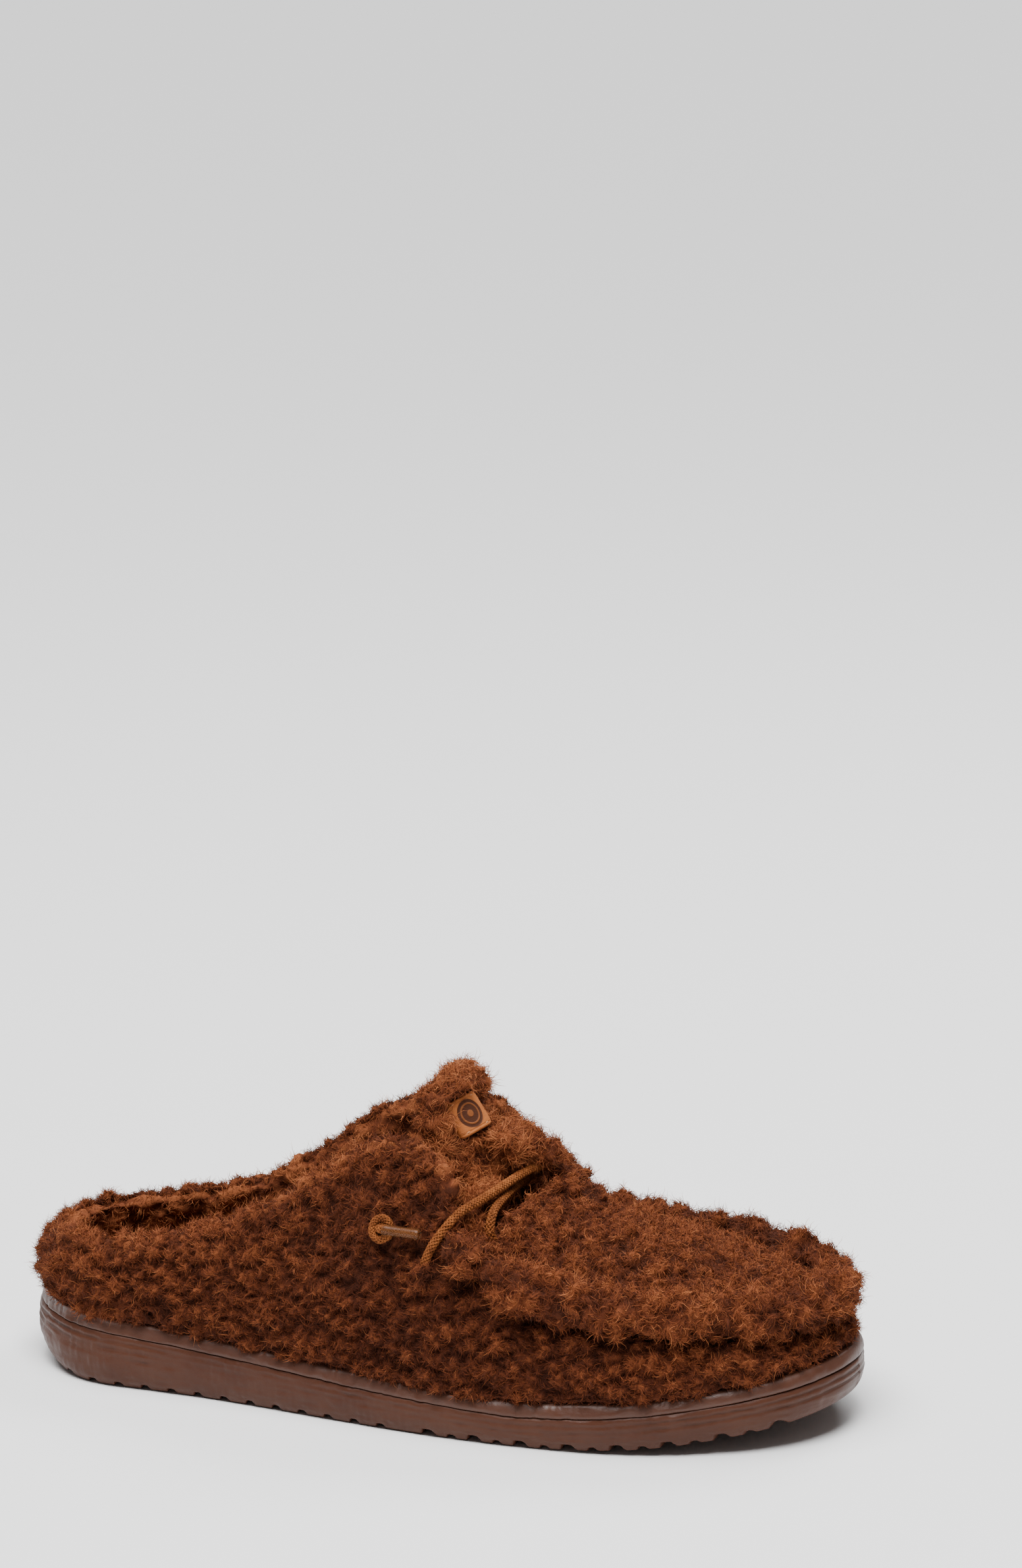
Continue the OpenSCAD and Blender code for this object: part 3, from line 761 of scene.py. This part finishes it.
# The fibres of one group and shade are one object, or several of at most this many faces
MOST_FACES = 195000
for group, steps, members in (
        ("wall", 2, ("side_wall_pile", "heel_panel_pile")),
        ("ridge", 3, ("moc_ridge_pile", "vamp_plug_pile")),
        ("lining", 2, ("wall_lining_pile", "footbed_pile")),
        ("tongue", 3, ("tongue_pile", "tongue_lining_pile"))):
    mine = [f for f in fibres if f[0] in members]
    most = MOST_FACES // (6 * steps - 2)
    for shade in range(len(SHADES)):
        picked = [[a[f[1] == shade] for a in f[2]] for f in mine]
        merged = [np.concatenate(same) for same in zip(*picked)]
        for part, start in enumerate(range(0, len(merged[0]), most)):
            co, quads, tris = fibre_parts(steps, *[a[start:start + most] for a in merged])
            if group == "wall":
                co = hem(co, 1.8)
            ob = make(f"{group}_fibres_{shade}_{part}", co, quads, tris, fibre_wool[shade])
            if group == "tongue":
                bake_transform(ob)
            else:
                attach(ob, "slipper")


# ---------------- sole

def tread(x):
    """How deep the tread is cut at x."""
    cuts = [(c, 2.2, 2.4, 1.5) for c in range(-134, -3, 10)]          # place, depth, half width, slope
    cuts += [(14 + 16.5 * k, 3.0, 3.3, 1.8) for k in range(8)]
    cuts += [(22.25 + 16.5 * k, 1.9, 2.3, 1.3) for k in range(7)]
    return np.max([depth * smooth((half - np.abs(x - at)) / slope) for at, depth, half, slope in cuts], 0)


def rubber(name, colour, light, gloss):
    m = material(name, colour, 0.4, Specular_IOR_Level=gloss)
    paint(m, noise_in(m, 45, 4, 0.6), [(0.3, colour), (0.7, light)])
    rough = ramp(m, noise_in(m, 120, 3, 0.6), [(0.3, (0.34, 0.34, 0.34)), (0.7, (0.5, 0.5, 0.5))])
    link(m, rough, shader(m).inputs["Roughness"])
    bump(m, noise_in(m, 1500, 3, 0.7), 0.25, 0.0004)
    return m


sole_rubber = rubber("sole_rubber", (0.053, 0.0172, 0.0086), (0.070, 0.0250, 0.0132), 0.2)
band_rubber = rubber("band_rubber", (0.054, 0.0180, 0.0092), (0.072, 0.0262, 0.0140), 0.36)
TOE_OUT = 1.5     # the moulded toe stands this much proud of the plain CAD outline
# The side's profile. Up to SHOULDER of its rows it is the tread's rounded edge, with heights in millimetres
# up to SHOULDER_Z. Above that the heights are shares of the side, from SHARE_LOW to 1 at the joint line.
SHOULDER, SHOULDER_Z, SHARE_LOW = 0.34, 3.2, 0.3
SIDE_IN = [[0, 5.2], [0.1, 2.6], [0.2, 1.5], [SHOULDER, 0.55], [0.5, 0.1], [0.66, -0.1], [0.8, -0.05],
           [0.9, 0.1], [1, 0.65]]
SIDE_EDGE = [[0, 0.0], [0.1, 0.25], [0.2, 1.0], [SHOULDER, SHOULDER_Z]]
SIDE_SHARE = [[SHOULDER, SHARE_LOW], [0.5, 0.45], [0.66, 0.66], [0.8, 0.84], [0.9, 0.93], [1, 1.0]]


def both_sides(ring, x, z):
    """Places for noise on the sole's side, with its two sides apart."""
    return np.stack([x, z, np.where(ring < 0.5, 0.0, 40.0)], 1)


def sole_body():
    n = int(900 * (1))
    s = 0.0008 + (0.5 - 0.0016) * (np.arange(n) / (n - 1))
    ring = np.concatenate([s, 1 - s[::-1]])
    x0 = edge(ring)[:, 0]
    floor_z, joint_z = ground(x0), joint_line(x0) - 0.1
    heel_side = smooth((-60 - x0) / 50)
    rows = np.linspace(0, 1, 30)
    rings = []
    for t, d in zip(rows, curve(rows, SIDE_IN)):
        if t <= SHOULDER:
            z = floor_z + curve(np.array([t]), SIDE_EDGE)[0]
        else:
            share = curve(np.array([t]), SIDE_SHARE)[0]
            start = floor_z + SHOULDER_Z
            z = start + (joint_z - start) * (share - SHARE_LOW) / (1 - SHARE_LOW)
        up, below = z - floor_z, joint_z - z
        strength = 0.5 + 0.5 * np.maximum(heel_side, smooth((x0 - 60) / 50)) + 0.8 * smooth((-112 - x0) / 20)
        lines = smooth((0.6 - np.abs(below - 2.4)) / 0.5) + smooth((0.6 - np.abs(below - 4.8)) / 0.5)
        grooves = 0.5 * strength * lines + 0.45 * heel_side * smooth((0.7 - np.abs(below - 7.4)) / 0.5)
        belly = np.sin(np.clip(up / np.maximum(joint_z - floor_z, 1), 0, 1) * pi)
        bulge = -0.7 * heel_side * belly - TOE_OUT * smooth((x0 - 105) / 30)
        wrinkle_at, fine_at = both_sides(ring, x0 / 2.6, z * 1.5), both_sides(ring, x0, z / 3.5)
        wrinkle = 0.2 * noise(wrinkle_at, 2.0, 61)[:, 0] + 0.1 * noise(wrinkle_at, 0.9, 62)[:, 0]
        wrinkle = wrinkle + 0.16 * noise(fine_at, 1.3, 63)[:, 0] * smooth(noise(fine_at, 16, 64)[:, 0] + 0.6)
        q = edge_in(ring, d + bulge + (grooves + wrinkle) * smooth(up / 3) * smooth(below / 1.2))
        cut = tread(q[:, 0] + 0.42 * up * np.where(x0 > 10, 1, 0.6))
        z = np.maximum(z, ground(q[:, 0]) + cut * np.clip(1.25 - up / 9, 0, 1))
        rings.append(np.stack([q[:, 0], q[:, 1], z], 1))
    quads = [loop_quads(len(rings), 2 * n)]
    # The underside, in strips from one side to the other
    across = 34
    one_side, other_side = rings[0][:n], rings[0][n:][::-1]
    grid = [np.arange(n)]
    at = 2 * n * len(rings)
    for k in range(1, across):
        v = k / across
        p = one_side * (1 - v) + other_side * v
        p[:, 2] = ground(p[:, 0]) + tread(p[:, 0] + 1.2 * np.sin(v * 2 * pi))
        rings.append(p)
        grid.append(at + np.arange(n))
        at += n
    grid.append((2 * n - 1) - np.arange(n))
    for a, b in zip(grid[:-1], grid[1:]):
        quads.append(np.stack([a[1:], a[:-1], b[:-1], b[1:]], 1))
    top = (len(rows) - 1) * 2 * n
    a, b = top + np.arange(n), top + (2 * n - 1) - np.arange(n)
    quads.append(np.stack([a[:-1], a[1:], b[1:], b[:-1]], 1))
    return make("outsole_moulded", np.concatenate(rings), np.concatenate(quads), material=sole_rubber)


def sole_band():
    n = int(1800 * (1))
    ring = (np.arange(n) + 0.5) / n
    x0 = edge(ring)[:, 0]
    # How far in from the outline and how high above the joint line; rows 1 to 9 show, 4 to 9 round the top
    profile = [(6, 0.25), (0.8, 0.05), (0.35, 0.25), (0.2, 0.6), (0.25, 1.3), (0.5, 2.1), (0.85, 2.9),
               (1.3, 3.7), (1.9, 4.4), (2.8, 4.8), (4, 5.0), (8, 5.0), (8, 2.5)]
    rings = []
    for k, (d, rise) in enumerate(profile):
        hollow = 0.7 * smooth((-70 - x0) / 40) * smooth(rise / 1.5) * smooth((5 - rise) / 1.5)
        at, fine = (both_sides(ring, x, np.full(n, z)) for x, z in ((x0 / 2.4, rise * 1.5), (x0, rise / 3)))
        wave = 0.2 * noise(at, 2.2, 71)[:, 0] + 0.12 * noise(at, 0.9, 72)[:, 0]
        wave = wave + 0.2 * noise(fine, 1.2, 73)[:, 0] * smooth(noise(fine, 18, 74)[:, 0] + 0.6)
        inset = d * (1 - 0.55 * smooth((-90 - x0) / 30)) if 3 < k < 10 else d
        q = edge_in(ring, inset + (hollow + wave - TOE_OUT * smooth((x0 - 105) / 30) if 0 < k < 10 else 0))
        rings.append(np.stack([q[:, 0], q[:, 1], joint_line(q[:, 0]) + rise], 1))
    quads = loop_quads(len(rings), n, closed=True)
    return make("band_moulded", np.concatenate(rings), quads, material=band_rubber)


stand_in(sole_body(), "outsole", "slipper")
stand_in(sole_band(), "midsole_band", "slipper")


# ---------------- lace

def spline(points, step):
    """A smooth path through points, resampled every step."""
    p = np.array(points, float)
    out = []
    for i in range(len(p) - 1):
        a, b, c, d = p[max(i - 1, 0)], p[i], p[i + 1], p[min(i + 2, len(p) - 1)]
        t = np.linspace(0, 1, 24, endpoint=False)[:, None]
        out.append(0.5 * (2 * b + (c - a) * t + (2 * a - 5 * b + 4 * c - d) * t**2
                          + (3 * b - a - 3 * c + d) * t**3))
    path = np.concatenate(out + [p[-1:]])
    run = np.concatenate([[0], np.cumsum(np.linalg.norm(np.diff(path, axis=0), axis=1))])
    s = np.linspace(0, run[-1], max(int(run[-1] / step), 8))
    return np.stack([np.interp(s, run, path[:, k]) for k in range(3)], 1), s


def tube_frames(path, first):
    """Along a path: its direction, and two directions across it that don't twist, the first near first."""
    t = unit(np.gradient(path, axis=0))
    n = np.empty_like(path)
    v = np.array(first, float)
    for i in range(len(path)):
        v = v - t[i] * (v @ t[i])
        v = v / np.linalg.norm(v)
        n[i] = v
    return t, n, np.cross(t, n)


def tube(path, n, b, radius, sides, at=0):
    """Points and faces of one closed tube; radius may vary along it."""
    r = np.broadcast_to(np.asarray(radius, float).reshape(-1, 1), (len(path), 1))
    rings = [path + r * (cos(2 * pi * k / sides) * n + sin(2 * pi * k / sides) * b) for k in range(sides)]
    co = np.stack(rings, 1).reshape(-1, 3)
    last = (len(path) - 1) * sides
    ends = [cap for a in range(1, sides - 1) for cap in ([0, a + 1, a], [last, last + a, last + a + 1])]
    return co, loop_quads(len(path), sides) + at, np.array(ends) + at


def braided(name, path, s, first, radius, mat):
    """A round braid: six strands each way, over and under, round a core."""
    _, n, b = tube_frames(path, first)
    mid = radius * 0.74
    turn = np.tan(radians(38)) / mid
    co, quads, tris, at = [], [], [], 0
    for family in (1, -1):
        for k in range(6):
            angle = (2 * pi * k / 6 + family * turn * s)[:, None]
            out = mid + family * 0.17 * radius * np.cos(6 * turn * s)[:, None]
            line = path + out * (np.cos(angle) * n + np.sin(angle) * b)
            _, n2, b2 = tube_frames(line, np.cos(angle[0]) * n[0] + np.sin(angle[0]) * b[0])
            c, q, e = tube(line, n2, b2, radius * 0.235, 5, at)
            co.append(c)
            quads.append(q)
            tris.append(e)
            at += len(c)
    c, q, e = tube(path, n, b, radius * 0.62, 10, at)
    return make(name, np.concatenate(co + [c]), np.concatenate(quads + [q]), np.concatenate(tris + [e]), mat)


lace_mat = material("lace_braid", (0.30, 0.105, 0.03), 0.75, Specular_IOR_Level=0.15)
paint(lace_mat, noise_in(lace_mat, 260, 4, 0.7, 0.8),
      [(0.32, (0.10, 0.026, 0.0055)), (0.5, (0.19, 0.056, 0.0130)), (0.68, (0.29, 0.096, 0.026))])
bump(lace_mat, noise_in(lace_mat, 2600, 3, 0.7), 0.5, 0.0003)

LACE_ROUTE = [
    (-4, -44.7, 69.1), (-3, -41.5, 67.5), (1, -41.5, 64), (6, -43, 60), (9.5, -46.5, 57.5),
    (11, -50.5, 58.5), (12, -50.4, 61.8), (14, -49, 66.5), (17.5, -45.5, 72), (20, -40, 75.3),
    (23, -32, 76.8), (26.5, -20, 78.2), (30, -5, 79.7), (32.6, 7, 79.3), (34.8, 16, 76), (36.5, 23.5, 71.5),
    (38.3, 30, 66.5), (38.5, 27, 61.5), (37, 12, 66.5), (35, -12, 66.5), (31, -27, 62), (28.5, -32, 66),
    (28, -30.5, 70.5), (27.6, -25, 73.2), (27.7, -16, 74.6), (28.2, -4, 75.2), (28, 8, 74.6),
    (26.8, 20, 73.8), (24, 31, 73.8), (20.8, 38, 74.2), (17.5, 41.5, 72), (14, 43.6, 66.5),
    (12, 44.1, 61.8), (11, 44.3, 58.5), (9.5, 40.5, 57.5), (6, 37, 60), (1, 35, 64), (-3, 35, 67.5),
    (-4, 38.1, 69.1)]
path, run = spline(LACE_ROUTE, 0.27)
stand_in(braided("lace_braid", path, run, (1, 0, 0), 1.5, lace_mat), "lace", "slipper")

clear = material("clear_sleeve", (0.13, 0.050, 0.018), 0.22, Alpha=0.3, Specular_IOR_Level=0.25)
# The tail and its sleeve, as (along the tail, across it, out from the wall) from the joint
TAIL = [(2.2, 0, 0.95), (4.6, 0, 0.6), (9, 0, 0.2)]
SLEEVE_SIDES = 40
JOINTS = {j["name"]: j for j in frame["joints"]}
for side, body, end, sleeve, joint in (
        (-1, "lace_tail_lateral", "lace_end_lateral", "aglet_lateral", "lateral_lace_swing"),
        (1, "lace_tail_medial", "lace_end_medial", "aglet_medial", "medial_lace_swing")):
    centre = np.array(JOINTS[joint]["pos_m"]) / MM
    out = unit(np.array(JOINTS[joint]["axis"])) * side
    along = unit(np.cross(out, (0, 0, 1.0)))
    along = along * np.sign(along[0])
    third = np.cross(out, along)
    # An overhand knot: up from the wall, round in a flat loop, then up through it and out along the tail
    knot = [(0.9, -0.6, -5.2), (1.8, -1.6, -3.6)]
    for k in range(14):
        a = -0.9 + 2 * pi * 1.12 * k / 13
        knot.append((3.1 * cos(a) - 0.4, 3.6 * sin(a), -1.9 + 1.9 * k / 13))
    knot += [(-0.6, 1.2, -1.7), (-1.4, 0.2, -1.2), (-0.2, 0, 0.3), *TAIL, (13.6, 0, 0)]
    points = [centre + k[0] * along + k[1] * third + k[2] * out for k in knot]
    through, run = spline(points, 0.26)
    stand_in(braided(end + "_knot", through, run, out, 1.36, lace_mat), end, body)
    # The sleeve: a thin clear tube, a little waisted, crimped at its end
    t = np.linspace(0, 1, 30)
    course = [(1.4, 0, 0.9), *TAIL, (14.4, 0, -0.1)]
    line, _ = spline([centre + k[0] * along + k[2] * out for k in course], 0.45)
    line = np.stack([np.interp(t, np.linspace(0, 1, len(line)), line[:, k]) for k in range(3)], 1)
    _, n, b = tube_frames(line, out)
    radius = 1.98 - 0.1 * np.sin(pi * t) - 0.28 * smooth((t - 0.9) / 0.1) - 0.12 * smooth((0.06 - t) / 0.06)
    outer, outer_quads, _ = tube(line, n, b, radius, SLEEVE_SIDES)
    bore, bore_quads, _ = tube(line, n, b, radius - 0.24, SLEEVE_SIDES, len(outer))
    k = np.arange(SLEEVE_SIDES)
    nxt = (k + 1) % SLEEVE_SIDES
    rim = np.stack([k, nxt, len(outer) + nxt, len(outer) + k], 1)
    quads = [outer_quads, bore_quads[:, ::-1], rim[:, ::-1], rim + (len(line) - 1) * SLEEVE_SIDES]
    ob = make(sleeve + "_sleeve", np.concatenate([outer, bore]), np.concatenate(quads), material=clear)
    stand_in(ob, sleeve, body)


# ---------------- label

leather = material("label_leather", (0.27, 0.085, 0.024), 0.7, Specular_IOR_Level=0.15)
hide = ramp(leather, noise_in(leather, 160, 5, 0.65),
            [(0.3, (0.25, 0.070, 0.0165)), (0.7, (0.37, 0.118, 0.031))])
mark = node(leather, "ShaderNodeAttribute", attribute_name="mark").outputs["Fac"]
hide = blend_colour(leather, mark, hide, (0.050, 0.0150, 0.0060))
link(leather, hide, shader(leather).inputs["Base Color"])
pore = node(leather, "ShaderNodeTexVoronoi", in_Scale=1900.0)
link(leather, coords(leather), pore.inputs["Vector"])
bump(leather, pore.outputs[0], 0.35, 0.0003)


def label_point(u, v, h):
    return label_mid + u[:, None] * label_up + v[:, None] * label_side + h[:, None] * label_face


def label_patch():
    """The leather label: a square with rounded corners, crowned, with rings pressed into it."""
    k = 96
    g = np.linspace(-1, 1, k)
    u, v = (a.ravel() for a in np.meshgrid(g, g, indexing="ij"))
    r = np.maximum(np.abs(u), np.abs(v)) + 1e-9
    a = np.arctan2(v, u)
    half, power = LABEL / 2, 9.0
    edge_at = half / (np.abs(np.cos(a)) ** power + np.abs(np.sin(a)) ** power) ** (1 / power)
    u, v = np.cos(a) * edge_at * r * 0.94, np.sin(a) * edge_at * r * 1.06
    rad = np.hypot(u, v)
    thick = 0.7 * np.sqrt(np.clip(1 - ((r - 0.9) / 0.1).clip(0, 1) ** 2, 0, 1)) + 0.5
    pressed = 0.25 * smooth((5.1 - rad) / 0.35)
    ring = 0.22 * smooth((0.45 - np.abs(rad - 3.6)) / 0.3)
    boss = 0.22 * smooth((1.4 - rad) / 0.3)
    seam = 0.16 * smooth((0.35 - np.abs(half - 1.6 - np.abs(u))) / 0.25)
    wave = 0.12 * noise(np.stack([u, v, np.zeros_like(u)], 1), 6.5, 81)[:, 0]
    crown = 0.9 - 1.5 * (v / half) ** 2
    top = thick - pressed + ring + boss - seam + wave + crown
    low = np.full_like(top, -0.1) + crown
    dark = smooth((5.3 - rad) / 0.4) * (1 - 0.5 * (ring + boss) / 0.22)
    i, j = (a.ravel() for a in np.meshgrid(np.arange(k - 1), np.arange(k - 1), indexing="ij"))
    q = np.stack([i * k + j, (i + 1) * k + j, (i + 1) * k + j + 1, i * k + j + 1], 1)
    rim = np.concatenate([np.arange(k), np.arange(1, k) * k + k - 1, (k - 1) * k + np.arange(k - 2, -1, -1),
                          np.arange(k - 2, 0, -1) * k])
    nxt = np.roll(rim, -1)
    sides = np.stack([rim, nxt, nxt + k * k, rim + k * k], 1)
    return make("label_patch", np.concatenate([label_point(u, v, top), label_point(u, v, low)]),
                np.concatenate([q, q[:, ::-1] + k * k, sides]), material=leather,
                values={"mark": np.concatenate([dark, np.zeros_like(dark)])})


stand_in(label_patch(), "tongue_label", "tongue")


def thread_material(name, colour, light):
    m = material(name, colour, 0.6, Sheen_Weight=0.2, Sheen_Roughness=0.4)
    paint(m, noise_in(m, 900, 3, 0.6), [(0.3, colour), (0.7, light)])
    bump(m, noise_in(m, 4000, 2, 0.6), 0.4, 0.0002)
    return m


def stitches(name, ends, radius, mat):
    """Twisted two-ply stitches, each an arch from one end to the other."""
    co, quads, tris, at = [], [], [], 0
    for a, b, up in ends:
        t = np.linspace(0, 1, 15)[:, None]
        line = a + (b - a) * t + up * 0.5 * np.sin(pi * t) ** 0.7 - up * 0.25 * (1 - np.sin(pi * t))
        _, n, bi = tube_frames(line, up)
        for ply in (0, pi):
            angle = 9 * t + ply
            strand = line + radius * 0.45 * (np.cos(angle) * n + np.sin(angle) * bi)
            c, q, e = tube(strand, n, bi, radius * 0.62, 7, at)
            co.append(c)
            quads.append(q)
            tris.append(e)
            at += len(c)
    return make(name, np.concatenate(co), np.concatenate(quads), np.concatenate(tris), mat)


def sticks(name):
    """The two ends of each separate stitch in a CAD thread node."""
    me = frame["nodes"][name].data
    co = points_of(me)
    group = np.arange(len(co))
    key = {}
    for i, p in enumerate(np.round(co, 3)):
        group[i] = key.setdefault(tuple(p), i)
    e = group[read(me.edges, "vertices", 2)]
    piece = np.arange(len(co))
    for _ in range(200):
        low = np.minimum(piece[e[:, 0]], piece[e[:, 1]])
        before = piece.copy()
        np.minimum.at(piece, e[:, 0], low)
        np.minimum.at(piece, e[:, 1], low)
        if (before == piece).all():
            break
    piece = piece[group]
    out = []
    for g in np.unique(piece):
        p = co[piece == g]
        mid = p.mean(0)
        _, _, v = np.linalg.svd(p - mid, full_matrices=False)
        t = (p - mid) @ v[0]
        out.append((mid + v[0] * t.min(), mid + v[0] * t.max()))
    return out


tan_thread = thread_material("label_thread", (0.33, 0.115, 0.032), (0.48, 0.21, 0.075))
brown_thread = thread_material("seam_thread", (0.085, 0.026, 0.009), (0.13, 0.045, 0.017))
ends = [(a + label_face, b + label_face, label_face) for a, b in sticks("label_thread")]
stand_in(stitches("label_stitches", ends, 0.3, tan_thread), "label_thread", "tongue")
SUNK = 3.4     # how deep the seams' stitches lie in the pile
for cad in ("moc_seam_thread", "heel_seam_thread"):
    ends = []
    for a, b in sticks(cad):
        a, b = inside(np.array([a, b]))
        out = axis_of(((a + b) / 2)[None])[0]
        up = unit(out + np.array([0, 0, 0.6 if cad == "moc_seam_thread" else 0]))
        ends.append((a - up * SUNK, b - up * SUNK, up))
    stand_in(stitches(cad + "_stitches", ends, 0.38, brown_thread), cad, "slipper")

# ---------------- hidden pieces keep their CAD shape

board = material("lasting_board", (0.42, 0.32, 0.20), 0.85)
paint(board, noise_in(board, 500, 5, 0.7), [(0.3, (0.34, 0.25, 0.15)), (0.7, (0.50, 0.40, 0.26))])
bump(board, noise_in(board, 1800, 3, 0.7), 0.4, 0.0003)
foam = material("foam", (0.60, 0.55, 0.44), 0.9)
pores = node(foam, "ShaderNodeTexVoronoi", in_Scale=700.0)
link(foam, coords(foam), pores.inputs["Vector"])
paint(foam, pores.outputs[0], [(0.1, (0.42, 0.37, 0.28)), (0.5, (0.64, 0.59, 0.48))])
bump(foam, pores.outputs[0], 0.5, 0.0006)
sheet = material("counter_sheet", (0.62, 0.57, 0.46), 0.5)
paint(sheet, noise_in(sheet, 90, 3, 0.5), [(0.3, (0.56, 0.51, 0.41)), (0.7, (0.68, 0.63, 0.52))])
bump(sheet, noise_in(sheet, 900, 2, 0.5), 0.2, 0.0002)
for name, mat in (("insole_board", board), ("footbed_foam", foam), ("heel_counter", sheet),
                  ("strobel_thread", brown_thread)):
    me = frame["nodes"][name].data
    me.materials.clear()
    me.materials.append(mat)

# ---------------- floor, light, camera

FAR = 6000
floor = make("floor", [(-FAR, -FAR, 0), (FAR, -FAR, 0), (FAR, FAR, 0), (-FAR, FAR, 0)], [(0, 1, 2, 3)],
             material=material("floor_paper", (0.86, 0.86, 0.86), 0.9, Specular_IOR_Level=0.1))
world = bpy.data.worlds.new("studio")
bpy.context.scene.world = world
world.use_nodes = True
sky = world.node_tree.nodes["Background"]
sky.inputs["Color"].default_value = (1, 1, 1, 1)
sky.inputs["Strength"].default_value = 0.2


def soft_light(name, at, target, size, watts):
    """A round area light at a place in metres, facing target."""
    data = bpy.data.lights.new(name, "AREA")
    data.shape = "DISK"
    data.size = size
    data.energy = watts
    ob = add(name, data)
    ob.location = at
    ob.rotation_euler = (Vector(target) - Vector(at)).to_track_quat("-Z", "Y").to_euler()


soft_light("key", (0.15, -0.6, 1.45), (0, 0, 0.05), 0.8, 24)
soft_light("rim", (0.3, 0.9, 1.2), (0, 0, 0.06), 0.7, 10)
sun_data = bpy.data.lights.new("overhead", "SUN")
sun_data.energy = 4.4
sun_data.angle = radians(48)
add("overhead", sun_data).rotation_euler = (radians(11), radians(-5), 0)

# The camera looks at the slipper from AZIMUTH, ELEVATION; the last three are its place in metres, back from
# the origin, up and to the right in the picture
AZIMUTH, ELEVATION, LENS = radians(18.9), radians(13.8), 146.35
BACK, UP, RIGHT = 2.2, 0.2066, 0.0234
back_way = np.array([sin(AZIMUTH) * cos(ELEVATION), -cos(AZIMUTH) * cos(ELEVATION), sin(ELEVATION)])
right_way = np.array([cos(AZIMUTH), sin(AZIMUTH), 0.0])
up_way = np.array([-sin(AZIMUTH) * sin(ELEVATION), cos(AZIMUTH) * sin(ELEVATION), cos(ELEVATION)])
data = bpy.data.cameras.new("camera")
data.sensor_width = 36
data.lens = LENS
data.clip_start, data.clip_end = 0.05, 50
camera = add("camera", data)
camera.rotation_euler = Matrix(np.stack([right_way, up_way, back_way], 1).tolist()).to_euler()
camera.location = back_way * BACK + up_way * UP + right_way * RIGHT
bpy.context.scene.camera = camera
